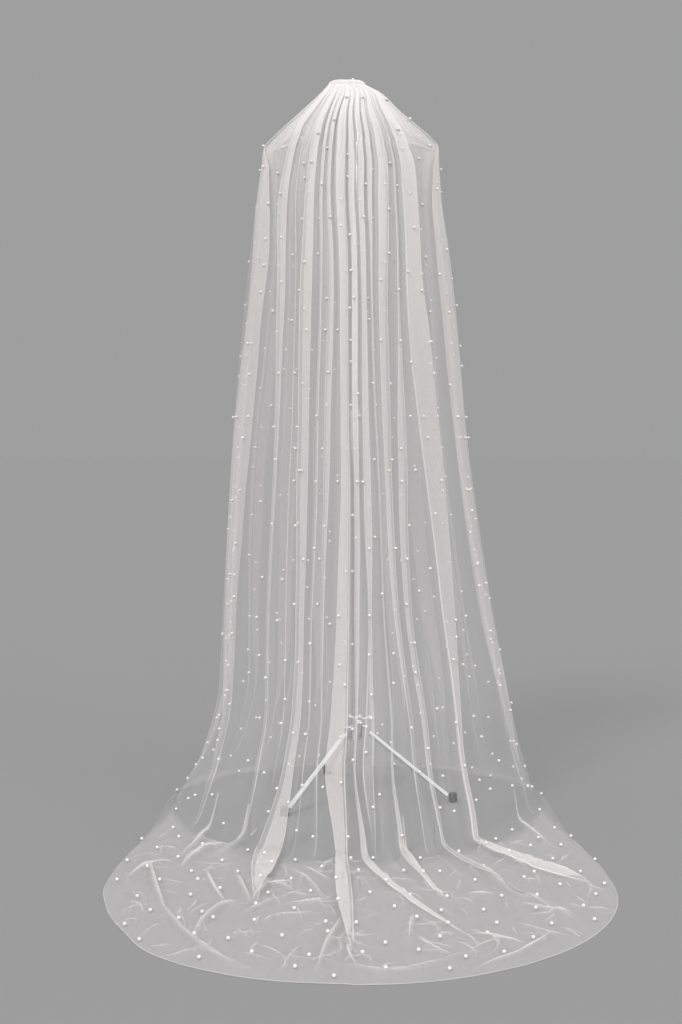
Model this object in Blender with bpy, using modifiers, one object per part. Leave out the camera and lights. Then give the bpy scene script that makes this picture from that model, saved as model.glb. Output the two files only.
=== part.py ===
"""Cathedral veil of sheer tulle, gathered onto a comb and hung on a chrome tripod display stand.

The veil is one wide piece of tulle. It falls from the comb over the stand's shoulder bar in lapped
folds, with its two free edges at the far side, and runs out over the floor as a round train.

Metres, +Z up. The origin is on the floor under the middle of the base. The train runs towards -Y.
"Forward" is a distance from the pole towards the train, "across" one to the right of the pole.
"Share" is a place round the veil: 0 at the middle of the front, -1 and 1 at the free edges.
"""

import math
from collections import namedtuple

import bmesh
import bpy
import numpy as np
from mathutils import Vector

# Cloth
CLOTH = 0.0012  # thickness of the wall
SEAM = 0.0003  # gap left where two stretches or pieces meet
VEIL_TOP = 1.897
FREE_EDGE_TURN = 174.0  # degrees round from the front to each free edge
HEADING_CLOTH = 0.0016  # several gathered layers
HEADING_ROUND = 0.0022  # how far its top edge is rounded off

# Folds in general
FOLD_FOOT = 0.0070  # run of a fold's rising side
FOLD_ROOM = 0.92  # share of the room between its neighbours that a fold may fill
FOOT_ROOM = 0.3  # share of that room that its rising side may take
VALLEY = 0.16  # depth of the trough between two folds, as a share of their distance
DEEPEST_VALLEY = 0.014
VALLEY_LEAN = math.radians(20)  # troughs end where the cloth leans further over the floor
VALLEY_HALF = 0.2  # and where half the ring is shorter than this
TURNED_UNDER = 0.42  # share of a lapped fold's width that its hidden layer takes
WALL_CORNER = 1.5  # longest reach of a sharp corner, in halves of the wall
SHARPEST_TURN = 0.02

# Hem of the train: a round front, nearly straight sides and a short back
HEM_RADIUS = 0.550
HEM_CENTRE = 0.750
HEM_FORWARD = HEM_CENTRE + HEM_RADIUS
HEM_BACK = 0.365
POLE_Y = (HEM_FORWARD - HEM_BACK) / 2.0

# Stand
POLE_RADIUS = 0.011
NECK_RADIUS = 0.008
POLE_JOIN = 1.000  # where the thinner tube slides into the thicker one
COLLAR_RADIUS = 0.0135
COLLAR_LENGTH = 0.024
HUB_RADIUS = 0.019
HUB_LOW = 0.150
HUB_HIGH = 0.215
LEG_RADIUS = 0.0065
LEG_TOP = 0.173  # height of a leg's middle at its bracket
LEG_LOW = 0.012  # and at its foot
FOOT_REACH = 0.262
FOOT_RADIUS = 0.011
FOOT_HEIGHT = 0.024
EASED_EDGE = 0.0008
ROUND_EDGE = 0.003
LEG_TURNS = (-42.6, 77.4, 197.4)  # degrees round from straight forward, to the right
BAR_HEIGHT = 1.752
BAR_RADIUS = 0.007
BAR_LEFT = 0.2215
BAR_RIGHT = 0.2085
BAR_END_HEIGHT = 1.7125
BAR_BEND = 1.6  # how late the arched bar falls towards its ends
BAR_STEPS = 6
BOSS_HALF = 0.016
KNOB_RADIUS = 0.0085
KNOB_STEM_RADIUS = 0.0035
BALL_STEPS = 6
ROUND_STEPS = 20

# Rings of the hanging cloth: how far it reaches from the pole at each height, and how square it is
HangingRow = namedtuple("HangingRow", "height left right front back square lean")
HANGING_ROWS = (
    HangingRow(1.884, 0.057, 0.019, 0.020, 0.014, 3.0, 0),
    HangingRow(1.860, 0.094, 0.077, 0.034, 0.030, 2.4, 0),
    HangingRow(1.815, 0.138, 0.121, 0.052, 0.050, 2.0, 0),
    HangingRow(1.740, 0.214, 0.204, 0.078, 0.082, 1.8, 0),
    HangingRow(1.720, 0.231, 0.219, 0.086, 0.090, 1.8, 0),
    HangingRow(1.700, 0.238, 0.224, 0.094, 0.096, 1.8, 0),
    HangingRow(1.580, 0.259, 0.235, 0.130, 0.122, 1.9, 0),
    HangingRow(1.440, 0.275, 0.250, 0.167, 0.148, 1.9, 0),
    HangingRow(1.300, 0.289, 0.264, 0.203, 0.172, 1.9, 0),
    HangingRow(0.950, 0.319, 0.297, 0.283, 0.222, 1.9, 0),
    HangingRow(0.550, 0.346, 0.349, 0.368, 0.275, 1.9, 0),
    HangingRow(0.300, 0.360, 0.394, 0.422, 0.302, 1.9, 4),
    HangingRow(0.150, 0.402, 0.428, 0.468, 0.320, 1.9, 10),
    HangingRow(0.060, 0.442, 0.456, 0.510, 0.332, 1.9, 25),
    HangingRow(0.012, 0.466, 0.468, 0.545, 0.337, 1.9, 50),
)
# Where the cloth first lies flat on the floor
CONTACT_ROW = HangingRow(CLOTH / 2.0, 0.479, 0.480, 0.560, 0.343, 1.9, 90)
# Shares of the way from there to the hem
TRAIN_STEPS = (0.0, 0.18, 0.38, 0.58, 0.78, 1.0)
BACK_TRAIN_STEPS = (0.0, 0.5, 1.0)

# Side and back of the hem, from where the round front ends: across, forward
HemPoint = namedtuple("HemPoint", "across forward")
HEM_SIDE = (
    HemPoint(0.545, 0.620),
    HemPoint(0.530, 0.500),
    HemPoint(0.512, 0.380),
    HemPoint(0.505, 0.200),
    HemPoint(0.502, 0.040),
    HemPoint(0.486, -0.100),
    HemPoint(0.452, -0.200),
    HemPoint(0.390, -0.280),
    HemPoint(0.300, -0.335),
    HemPoint(0.180, -0.360),
    HemPoint(0.050, -HEM_BACK),
)

# The cloth's lines run straight out to the train, and turn along its sides: shares round the ring
# where it first touches the floor, and those of the places on the hem that they run to
HemShare = namedtuple("HemShare", "contact hem")
HEM_SHARES = (
    HemShare(0.00, 0.00),
    HemShare(0.40, 0.40),
    HemShare(0.50, 0.54),
    HemShare(0.60, 0.72),
    HemShare(0.75, 0.85),
    HemShare(1.00, 1.00),
)

# Folds of the hanging cloth. The first three columns are shares round the veil at the comb, from the
# shoulder to the waist, and at the floor. The widths are across the fold at four heights, and
# stand_out is its depth. A positive lap turns under on the right, a negative one on the left. reach is
# how far it runs out over the train, tip its share there, and leaf its width where it lies flat.
Fold = namedtuple(
    "Fold",
    "name comb fall floor at_shoulder at_waist at_knee at_floor stand_out lap reach tip leaf",
)
LEFT_EDGE_FOLDS = (
    Fold("edge_left_1", -0.92, -0.930, -0.93, 0.022, 0.030, 0.034, 0.034, 0.018, 1.0, 0.30, -0.93, 0.01),
    Fold("edge_left_2", -0.81, -0.830, -0.83, 0.026, 0.040, 0.042, 0.032, 0.024, 1.0, 0.30, -0.83, 0.01),
    Fold("edge_left_3", -0.70, -0.730, -0.73, 0.028, 0.046, 0.040, 0.026, 0.022, -1.0, 0.30, -0.73, 0.01),
)
LEFT_SIDE_FOLDS = (
    Fold("side_left", -0.60, -0.620, -0.62, 0.024, 0.036, 0.036, 0.022, 0.018, -1.0, 0.30, -0.62, 0.01),
    Fold("hip_left", -0.53, -0.515, -0.50, 0.016, 0.026, 0.030, 0.018, 0.014, 1.0, 0.30, -0.47, 0.01),
    Fold("rim_left", -0.46, -0.395, -0.36, 0.044, 0.066, 0.050, 0.014, 0.022, 1.0, 0.46, -0.30, 0.012),
)
LEFT_FRONT_FOLDS = (
    Fold("slim_left", -0.39, -0.238, -0.21, 0.020, 0.012, 0.016, 0.014, 0.018, 1.0, 0.48, -0.28, 0.012),
    Fold("arc_left", -0.32, -0.190, -0.176, 0.006, 0.008, 0.010, 0.010, 0.012, 0.0, 0.88, -0.172, 0.012),
    Fold("broad_left", -0.25, -0.146, -0.138, 0.044, 0.040, 0.044, 0.062, 0.024, 1.0, 0.48, -0.12, 0.05),
    Fold("line_left", -0.18, -0.103, -0.103, 0.008, 0.010, 0.008, 0.006, 0.014, 1.0, 0.12, -0.10, 0.008),
)
MIDDLE_FOLDS = (
    Fold("inner_left", -0.11, -0.068, -0.072, 0.018, 0.018, 0.010, 0.008, 0.018, 1.0, 0.22, -0.06, 0.01),
    Fold("middle", -0.04, -0.027, -0.034, 0.030, 0.034, 0.036, 0.046, 0.024, -1.0, 0.81, -0.005, 0.03),
    Fold("over_pole", 0.03, 0.009, 0.000, 0.010, 0.012, 0.016, 0.024, 0.016, 1.0, 0.10, 0.014, 0.02),
    Fold("inner_right", 0.10, 0.044, 0.024, 0.024, 0.022, 0.012, 0.010, 0.018, -0.7, 0.60, 0.080, 0.022),
)
RIGHT_FRONT_FOLDS = (
    Fold("long_leaf", 0.17, 0.076, 0.080, 0.006, 0.008, 0.010, 0.012, 0.015, 0.0, 0.90, 0.165, 0.026),
    Fold("slim_right", 0.24, 0.108, 0.150, 0.038, 0.030, 0.014, 0.012, 0.020, -1.0, 0.86, 0.235, 0.01),
    Fold("line_right", 0.31, 0.158, 0.195, 0.010, 0.012, 0.016, 0.010, 0.014, -1.0, 0.70, 0.268, 0.01),
    Fold("broad_right", 0.385, 0.250, 0.245, 0.060, 0.066, 0.024, 0.012, 0.024, 1.0, 0.77, 0.318, 0.03),
)
RIGHT_SIDE_FOLDS = (
    Fold("rim_right", 0.46, 0.410, 0.45, 0.030, 0.052, 0.056, 0.036, 0.022, -1.0, 0.3, 0.45, 0.012),
    Fold("hip_right", 0.53, 0.520, 0.54, 0.016, 0.026, 0.030, 0.018, 0.014, 1.0, 0.30, 0.53, 0.01),
    Fold("side_right", 0.60, 0.630, 0.63, 0.024, 0.036, 0.036, 0.022, 0.018, 1.0, 0.30, 0.63, 0.01),
)
RIGHT_EDGE_FOLDS = (
    Fold("edge_right_3", 0.70, 0.740, 0.74, 0.028, 0.046, 0.040, 0.026, 0.022, 1.0, 0.30, 0.74, 0.01),
    Fold("edge_right_2", 0.81, 0.840, 0.84, 0.026, 0.040, 0.042, 0.032, 0.024, -1.0, 0.30, 0.84, 0.01),
    Fold("edge_right_1", 0.92, 0.940, 0.94, 0.022, 0.030, 0.034, 0.034, 0.018, -1.0, 0.30, 0.94, 0.01),
)
PANELS = (
    ("veil_edge_left", LEFT_EDGE_FOLDS),
    ("veil_side_left", LEFT_SIDE_FOLDS),
    ("veil_front_left", LEFT_FRONT_FOLDS),
    ("veil_front_middle", MIDDLE_FOLDS),
    ("veil_front_right", RIGHT_FRONT_FOLDS),
    ("veil_side_right", RIGHT_SIDE_FOLDS),
    ("veil_edge_right", RIGHT_EDGE_FOLDS),
)
TRAIN_PANELS = (
    ("train_back_left", LEFT_EDGE_FOLDS, BACK_TRAIN_STEPS),
    ("train_left", LEFT_SIDE_FOLDS + LEFT_FRONT_FOLDS, TRAIN_STEPS),
    ("train_middle", MIDDLE_FOLDS, TRAIN_STEPS),
    ("train_right", RIGHT_FRONT_FOLDS + RIGHT_SIDE_FOLDS, TRAIN_STEPS),
    ("train_back_right", RIGHT_EDGE_FOLDS, BACK_TRAIN_STEPS),
)
ALL_FOLDS = tuple(fold for _, folds in PANELS for fold in folds)

# Heights at which a fold's shares and widths are given
COMB_HEIGHT = 1.884
SHOULDER_HEIGHT = 1.700
WAIST_HEIGHT = 1.000
KNEE_HEIGHT = 0.420
WIDTH_AT_COMB = 0.003
DEPTH_AT_COMB = 0.0022
LAP_STARTS = 1.800
LAP_FULL = 1.600
SHOULDER_DEPTH = 0.75  # depth of a fold at the shoulder, as a share of its full depth
LEAF_DEPTH = 0.62  # the same where it lies on the floor
LEAF_WIDEST = 0.4  # share of the way to its tip at which a leaf is widest
LEAF_LAP = (0.3, 0.8)  # where a lapped leaf starts to open out, and where it has done so
SHORT_REACH = 0.35  # folds that run out over the floor less far open out above it
LAP_OPENS = 0.70
LAP_OPEN = 0.15
SHORT_DEPTH = 0.16  # and there have this share of their depth
END_WIDTH = 0.005

MATERIALS = {
    "tulle": ((0.86, 0.84, 0.83), 0.80, 0.0),
    "comb": ((0.80, 0.80, 0.82), 0.25, 0.0),
    "chrome": ((0.78, 0.79, 0.80), 0.12, 1.0),
    "rubber": ((0.05, 0.05, 0.05), 0.75, 0.0),
}

Ring = namedtuple("Ring", "share arc across forward out_across out_forward height lean half")
Place = namedtuple("Place", "share width depth side lap")


def clear_scene():
    for item in list(bpy.data.objects):
        bpy.data.objects.remove(item, do_unlink=True)


def new_collection(name):
    collection = bpy.data.collections.new(name)
    bpy.context.scene.collection.children.link(collection)
    return collection


def new_material(name):
    color, roughness, metallic = MATERIALS[name]
    material = bpy.data.materials.new(name)
    material.use_nodes = True
    shader = material.node_tree.nodes["Principled BSDF"]
    shader.inputs["Base Color"].default_value = (*color, 1.0)
    shader.inputs["Roughness"].default_value = roughness
    shader.inputs["Metallic"].default_value = metallic
    return material


def add_object(name, data, collection, finish):
    item = bpy.data.objects.new(name, data)
    collection.objects.link(item)
    data.materials.append(new_material(finish))
    item.data.materials[0].name = f"{name}_{finish}"
    return item


def at_pole(across, forward, height):
    """A point given from the pole, in the part's own frame."""
    return Vector((across, POLE_Y - forward, height))


# Rings


def make_ring(across, forward, height, lean):
    """One ring of the cloth from its points, with the way out at each of them."""
    steps = np.hypot(np.diff(across), np.diff(forward))
    arc = np.concatenate([[0.0], np.cumsum(steps)])
    half = arc[-1] / 2.0
    run_across = np.gradient(across)
    run_forward = np.gradient(forward)
    size = np.hypot(run_across, run_forward)
    return Ring(
        np.linspace(-1.0, 1.0, len(arc)),
        arc - half,
        across,
        forward,
        -run_forward / size,
        run_across / size,
        height,
        math.radians(lean),
        half,
    )


def even_points(across, forward, count=721):
    """The same line with points at even distances."""
    arc = np.concatenate([[0.0], np.cumsum(np.hypot(np.diff(across), np.diff(forward)))])
    places = np.linspace(0.0, arc[-1], count)
    return np.interp(places, arc, across), np.interp(places, arc, forward)


def hanging_outline(row, last_turn=FREE_EDGE_TURN):
    """A rounded outline from the left free edge, round the front, to the right free edge."""
    turn = np.radians(np.linspace(-last_turn, last_turn, 1441))
    power = 2.0 / row.square
    middle = (row.right - row.left) / 2.0
    reach = (row.right + row.left) / 2.0
    across = middle + reach * np.sign(np.sin(turn)) * np.abs(np.sin(turn)) ** power
    depth = np.where(np.cos(turn) >= 0.0, row.front, row.back)
    forward = depth * np.sign(np.cos(turn)) * np.abs(np.cos(turn)) ** power
    return even_points(across, forward)


def hem_outline():
    """The hem, from the left free edge, round the front, to the right free edge."""
    turn = np.linspace(0.0, math.pi / 2.0, 60)
    across = HEM_RADIUS * np.sin(turn)
    forward = HEM_CENTRE + HEM_RADIUS * np.cos(turn)
    across = np.concatenate([across, [point.across for point in HEM_SIDE]])
    forward = np.concatenate([forward, [point.forward for point in HEM_SIDE]])
    across = np.concatenate([-across[:0:-1], across])
    forward = np.concatenate([forward[:0:-1], forward])
    return even_points(across, forward)


def between(first, second, share):
    return first + (second - first) * share


def hanging_ring(row):
    across, forward = hanging_outline(row)
    return make_ring(across, forward, row.height, row.lean)


def train_ring(step):
    """A ring that lies on the floor, from where the cloth first touches it to the hem."""
    inner_across, inner_forward = hanging_outline(CONTACT_ROW)
    hem_across, hem_forward = hem_outline()
    share = np.linspace(-1.0, 1.0, len(hem_across))
    hem_share = np.sign(share) * np.interp(np.abs(share), *zip(*HEM_SHARES))
    across = between(inner_across, np.interp(hem_share, share, hem_across), step)
    forward = between(inner_forward, np.interp(hem_share, share, hem_forward), step)
    return make_ring(across, forward, CONTACT_ROW.height, CONTACT_ROW.lean)


def joining_ring():
    """The train's first ring: the seam's gap below the last hanging one, along the cloth."""
    last = HANGING_ROWS[-1]
    run = math.hypot(CONTACT_ROW.front - last.front, last.height - CONTACT_ROW.height)
    share = SEAM / run
    values = [between(a, b, share) for a, b in zip(last, CONTACT_ROW)]
    row = HangingRow(*values)._replace(lean=last.lean)
    return hanging_ring(row)


# Folds


def table_value(height, *pairs):
    """Reads a value given at a few heights, highest first."""
    heights = [pair[0] for pair in pairs][::-1]
    values = [pair[1] for pair in pairs][::-1]
    return float(np.interp(height, heights, values))


def fold_side(fold):
    """Which side of a fold turns under: 1 for its right, -1 for its left."""
    return -1.0 if fold.lap < 0.0 else 1.0


def hanging_fold(fold, height):
    """A fold at one height of the hanging cloth."""
    share = table_value(
        height,
        (COMB_HEIGHT, fold.comb),
        (SHOULDER_HEIGHT, fold.fall),
        (KNEE_HEIGHT, fold.fall),
        (0.0, fold.floor),
    )
    width = table_value(
        height,
        (COMB_HEIGHT, WIDTH_AT_COMB),
        (SHOULDER_HEIGHT, fold.at_shoulder),
        (WAIST_HEIGHT, fold.at_waist),
        (KNEE_HEIGHT, fold.at_knee),
        (0.0, fold.at_floor),
    )
    depth = table_value(
        height,
        (COMB_HEIGHT, DEPTH_AT_COMB),
        (SHOULDER_HEIGHT, fold.stand_out * SHOULDER_DEPTH),
        (WAIST_HEIGHT, fold.stand_out),
        (0.0, fold.stand_out * LEAF_DEPTH),
    )
    lap = abs(fold.lap) * table_value(height, (LAP_STARTS, 0.0), (LAP_FULL, 1.0))
    if fold.reach < SHORT_REACH:
        lap *= table_value(height, (LAP_OPENS, 1.0), (LAP_OPEN, 0.0))
        depth *= table_value(height, (KNEE_HEIGHT, 1.0), (0.0, SHORT_DEPTH))
    return Place(share, width, depth, fold_side(fold), lap)


def train_fold(fold, step):
    """A fold where it lies on the train."""
    along = min(step / fold.reach, 1.0)
    share = between(fold.floor, fold.tip, along)
    widths = (fold.at_floor, fold.leaf, END_WIDTH)
    width = float(np.interp(along, (0.0, LEAF_WIDEST, 1.0), widths))
    depth = fold.stand_out * LEAF_DEPTH * (1.0 - along**3)
    lap = abs(fold.lap) * float(np.interp(along, LEAF_LAP, (1.0, 0.0)))
    if fold.reach < SHORT_REACH:
        depth *= SHORT_DEPTH
        lap = 0.0
    return Place(share, width, depth, fold_side(fold), lap)


def fold_line(middle, half, foot, place):
    """The five points of one fold. It turns under where it laps, and is a plain ridge where it doesn't."""
    hidden = half * (1.0 - 2.0 * TURNED_UNDER)
    turned = between(half + foot / 2.0, hidden, place.lap)
    points = [
        (-half - foot, 0.0),
        (-half, place.depth),
        (half, place.depth),
        (turned, place.depth / 2.0),
        (half + foot, 0.0),
    ]
    if place.side < 0.0:
        points = [(-arc, out) for arc, out in reversed(points)]
    return [(middle + arc, out) for arc, out in points]


def cloth_line(ring, places, first, last):
    """The cloth's own line round part of one ring, from fold first to fold last of all its folds."""
    middles = [float(np.interp(place.share, ring.share, ring.arc)) for place in places]
    bounds = [-ring.half] + [(a + b) / 2.0 for a, b in zip(middles, middles[1:])] + [ring.half]
    start = bounds[first] + (SEAM / 2.0 if first else 0.0)
    end = bounds[last + 1] - (SEAM / 2.0 if last + 1 < len(places) else 0.0)
    points = [(start, 0.0)]
    for index in range(first, last + 1):
        middle = middles[index]
        room = FOLD_ROOM * min(middle - bounds[index], bounds[index + 1] - middle)
        foot = min(FOLD_FOOT, FOOT_ROOM * room)
        half = min(places[index].width / 2.0, room - foot)
        points += fold_line(middle, half, foot, places[index])
        if index < last:
            valley = min(VALLEY * (middles[index + 1] - middle), DEEPEST_VALLEY)
            if ring.lean > VALLEY_LEAN or ring.half < VALLEY_HALF:
                valley = 0.0
            points.append((bounds[index + 1], -valley))
    points.append((end, 0.0))
    return np.array(points)


def offset_line(line, distance):
    """A line beside another in its own plane. Sharp turns are cut short on their outer side."""
    runs = np.diff(line, axis=0)
    runs /= np.linalg.norm(runs, axis=1)[:, None]
    before = np.vstack([runs[:1], runs])
    after = np.vstack([runs, runs[-1:]])
    out_before = np.column_stack([-before[:, 1], before[:, 0]])
    out_after = np.column_stack([-after[:, 1], after[:, 0]])
    way = out_before + out_after
    way /= np.linalg.norm(way, axis=1)[:, None]
    squeeze = np.maximum((way * out_before).sum(axis=1), SHARPEST_TURN)
    turn = before[:, 0] * after[:, 1] - before[:, 1] * after[:, 0]
    outer_side = turn * distance < 0.0
    length = np.where(outer_side, np.minimum(1.0 / squeeze, WALL_CORNER), 1.0 / squeeze)
    return line + way * (distance * length)[:, None]


def place_line(ring, line):
    """Puts a line of arcs and depths on its ring, in the part's frame."""
    arc, out = line[:, 0], line[:, 1]
    across = np.interp(arc, ring.arc, ring.across)
    forward = np.interp(arc, ring.arc, ring.forward)
    out_across = np.interp(arc, ring.arc, ring.out_across)
    out_forward = np.interp(arc, ring.arc, ring.out_forward)
    level = math.cos(ring.lean) * out
    return np.column_stack(
        [
            across + out_across * level,
            POLE_Y - (forward + out_forward * level),
            ring.height + math.sin(ring.lean) * out,
        ]
    )


# Meshes


def wall_mesh(name, outer, inner):
    """A closed wall between two sets of rows, each row with as many points as the others."""
    rows, columns = len(outer), len(outer[0])
    points = np.concatenate([np.concatenate(outer), np.concatenate(inner)])
    behind = rows * columns
    faces = []

    def strip(a, b, c, d):
        faces.append((a, b, c))
        faces.append((a, c, d))

    for row in range(rows - 1):
        for column in range(columns - 1):
            a = row * columns + column
            b, c, d = a + columns, a + columns + 1, a + 1
            strip(a, b, c, d)
            faces.append((behind + a, behind + c, behind + b))
            faces.append((behind + a, behind + d, behind + c))
    for column in range(columns - 1):
        top, low = column, (rows - 1) * columns + column
        strip(top, top + 1, behind + top + 1, behind + top)
        strip(low, behind + low, behind + low + 1, low + 1)
    for row in range(rows - 1):
        left, right = row * columns, row * columns + columns - 1
        strip(left, behind + left, behind + left + columns, left + columns)
        strip(right, right + columns, behind + right + columns, behind + right)
    mesh = bpy.data.meshes.new(name)
    mesh.from_pydata([tuple(point) for point in points], [], faces)
    mesh.update()
    return mesh


def cloth_wall(name, rings, folds_of, names, collection):
    """A stretch of cloth through its rings, between the folds with the first and the last name."""
    outer, inner = [], []
    for ring, folds in zip(rings, folds_of):
        order = [entry[0] for entry in folds]
        first, last = order.index(names[0]), order.index(names[-1])
        line = cloth_line(ring, [entry[1] for entry in folds], first, last)
        outer.append(place_line(ring, offset_line(line, CLOTH / 2.0)))
        inner.append(place_line(ring, offset_line(line, -CLOTH / 2.0)))
    return add_object(name, wall_mesh(name, outer, inner), collection, "tulle")


def make_hanging_cloth(collection):
    rings = [hanging_ring(row) for row in HANGING_ROWS]
    folds_of = [
        [(fold.name, hanging_fold(fold, row.height)) for fold in ALL_FOLDS] for row in HANGING_ROWS
    ]
    for name, folds in PANELS:
        cloth_wall(name, rings, folds_of, [fold.name for fold in folds], collection)


def make_train(collection):
    last_height = HANGING_ROWS[-1].height
    for name, folds, steps in TRAIN_PANELS:
        rings = [joining_ring()] + [train_ring(step) for step in steps]
        folds_of = [[(fold.name, hanging_fold(fold, last_height)) for fold in ALL_FOLDS]]
        folds_of += [[(fold.name, train_fold(fold, step)) for fold in ALL_FOLDS] for step in steps]
        cloth_wall(name, rings, folds_of, [fold.name for fold in folds], collection)


def smaller_row(row, inset, height):
    """The same outline, drawn in on every side."""
    return row._replace(
        height=height,
        left=row.left - inset,
        right=row.right - inset,
        front=row.front - inset,
        back=row.back - inset,
    )


def heading_loop(row, shares, outs):
    """One loop of the gathered heading, at the given shares and depths."""
    across, forward = hanging_outline(row, last_turn=180.0)
    ring = make_ring(across, forward, row.height, 0.0)
    return place_line(ring, np.column_stack([np.interp(shares, ring.share, ring.arc), outs]))


def make_heading(collection):
    """The gathered top edge: a low cap of cloth over the comb and the top of the pole."""
    crests = [fold.comb for fold in ALL_FOLDS]
    hollows = [(a + b) / 2.0 for a, b in zip(crests, crests[1:])]
    shares = sorted(crests + hollows + [-1.0])
    plain = np.zeros(len(shares))
    ripple = np.array([DEPTH_AT_COMB if share in crests else 0.0 for share in shares])
    comb = HANGING_ROWS[0]
    low = comb.height + SEAM
    under = HEADING_CLOTH + HEADING_ROUND
    loops = [
        heading_loop(smaller_row(comb, under, VEIL_TOP - HEADING_CLOTH), shares, plain),
        heading_loop(smaller_row(comb, HEADING_CLOTH, low), shares, plain),
        heading_loop(smaller_row(comb, 0.0, low), shares, ripple),
        heading_loop(smaller_row(comb, 0.0, VEIL_TOP - HEADING_ROUND), shares, ripple),
        heading_loop(smaller_row(comb, HEADING_ROUND, VEIL_TOP), shares, plain),
    ]
    add_object("veil_heading", loft_mesh("veil_heading", loops), collection, "tulle")


def loft_mesh(name, loops):
    """A closed body through closed loops of points, with a flat cap on the first and the last."""
    shape = bmesh.new()
    rows = [[shape.verts.new(point) for point in loop] for loop in loops]
    count = len(rows[0])
    for low, high in zip(rows, rows[1:]):
        for column in range(count):
            after = (column + 1) % count
            shape.faces.new((low[column], low[after], high[after]))
            shape.faces.new((low[column], high[after], high[column]))
    shape.faces.new(rows[0])
    shape.faces.new(rows[-1])
    bmesh.ops.recalc_face_normals(shape, faces=shape.faces)
    mesh = bpy.data.meshes.new(name)
    shape.to_mesh(mesh)
    shape.free()
    return mesh


# Comb

COMB_MIDDLE = (HANGING_ROWS[0].right - HANGING_ROWS[0].left) / 2.0
COMB_LENGTH = 0.052
COMB_THICKNESS = 0.0030
COMB_TOP = VEIL_TOP - HEADING_CLOTH - SEAM
SPINE_HEIGHT = 0.006
TOOTH_LENGTH = 0.034
TOOTH_WIDTH = 0.0022
TEETH = 13


def comb_outline():
    """The comb's outline as seen from the front, round its spine and along each tooth."""
    low = COMB_TOP - SPINE_HEIGHT
    points = [(-COMB_LENGTH / 2.0, COMB_TOP), (-COMB_LENGTH / 2.0, low)]
    pitch = (COMB_LENGTH - TOOTH_WIDTH) / (TEETH - 1)
    for index in range(TEETH):
        left = -COMB_LENGTH / 2.0 + index * pitch
        tip = low - TOOTH_LENGTH
        if index:
            points.append((left, low))
        points.append((left, tip + TOOTH_WIDTH))
        points.append((left + TOOTH_WIDTH / 2.0, tip))
        points.append((left + TOOTH_WIDTH, tip + TOOTH_WIDTH))
        if index < TEETH - 1:
            points.append((left + TOOTH_WIDTH, low))
    points.append((COMB_LENGTH / 2.0, COMB_TOP))
    return points


def make_comb(collection):
    curve = bpy.data.curves.new("veil_comb", "CURVE")
    curve.dimensions = "2D"
    curve.fill_mode = "BOTH"
    curve.extrude = COMB_THICKNESS / 2.0
    spline = curve.splines.new("POLY")
    points = comb_outline()
    spline.points.add(len(points) - 1)
    for point, (across, height) in zip(spline.points, points):
        point.co = (across, height, 0.0, 1.0)
    spline.use_cyclic_u = True
    item = add_object("veil_comb", curve, collection, "comb")
    forward = NECK_RADIUS + SEAM + COMB_THICKNESS / 2.0
    item.location = at_pole(COMB_MIDDLE, forward, 0.0)
    item.rotation_euler = (math.pi / 2.0, 0.0, 0.0)
    add_weld(item)


# Stand


def add_weld(item):
    weld = item.modifiers.new("Weld", "WELD")
    weld.merge_threshold = 0.00005


def make_turned(name, profile, collection, finish):
    """A turned piece from its radius and height, listed from its top to its bottom."""
    mesh = bpy.data.meshes.new(name)
    edges = [(index, index + 1) for index in range(len(profile) - 1)]
    mesh.from_pydata([(radius, 0.0, height) for radius, height in profile], edges, [])
    item = add_object(name, mesh, collection, finish)
    screw = item.modifiers.new("Screw", "SCREW")
    screw.steps = ROUND_STEPS
    screw.render_steps = ROUND_STEPS
    screw.use_merge_vertices = True
    screw.merge_threshold = 0.0001
    screw.use_smooth_shade = True
    add_weld(item)
    return item


def make_post(name, low, high, radius, collection, finish="chrome", edge=EASED_EDGE):
    """An upright round post round the pole's axis, with eased edges."""
    profile = [
        (0.0, high),
        (radius - edge, high),
        (radius, high - edge),
        (radius, low + edge),
        (radius - edge, low),
        (0.0, low),
    ]
    item = make_turned(name, profile, collection, finish)
    item.location = at_pole(0.0, 0.0, 0.0)
    return item


def make_tube(name, points, radius, collection, finish="chrome", sides=4):
    """A round bar along a few points."""
    curve = bpy.data.curves.new(name, "CURVE")
    curve.dimensions = "3D"
    curve.bevel_depth = radius
    curve.bevel_resolution = sides
    curve.use_fill_caps = True
    spline = curve.splines.new("POLY")
    spline.points.add(len(points) - 1)
    for point, place in zip(spline.points, points):
        point.co = (*place, 1.0)
    item = add_object(name, curve, collection, finish)
    add_weld(item)
    return item


def turned_out(turn, reach, height):
    """A point at a turn round the pole, measured from straight forward towards the right."""
    angle = math.radians(turn)
    return at_pole(reach * math.sin(angle), reach * math.cos(angle), height)


LUG_WIDTH = 0.012
LUG_REACH = 0.016
LUG_LOW = 0.158
LUG_HIGH = 0.188


def make_lug(name, turn, collection):
    """The bracket on the hub that a leg is pinned to."""
    shape = bmesh.new()
    bmesh.ops.create_cube(shape, size=1.0)
    bmesh.ops.scale(shape, vec=(LUG_WIDTH, LUG_REACH, LUG_HIGH - LUG_LOW), verts=shape.verts)
    mesh = bpy.data.meshes.new(name)
    shape.to_mesh(mesh)
    shape.free()
    item = add_object(name, mesh, collection, "chrome")
    seat = HUB_RADIUS + SEAM + LUG_REACH / 2.0
    item.location = turned_out(turn, seat, (LUG_LOW + LUG_HIGH) / 2.0)
    item.rotation_euler = (0.0, 0.0, math.radians(turn))
    bevel = item.modifiers.new("Bevel", "BEVEL")
    bevel.width = 0.0015
    bevel.segments = 2


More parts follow.
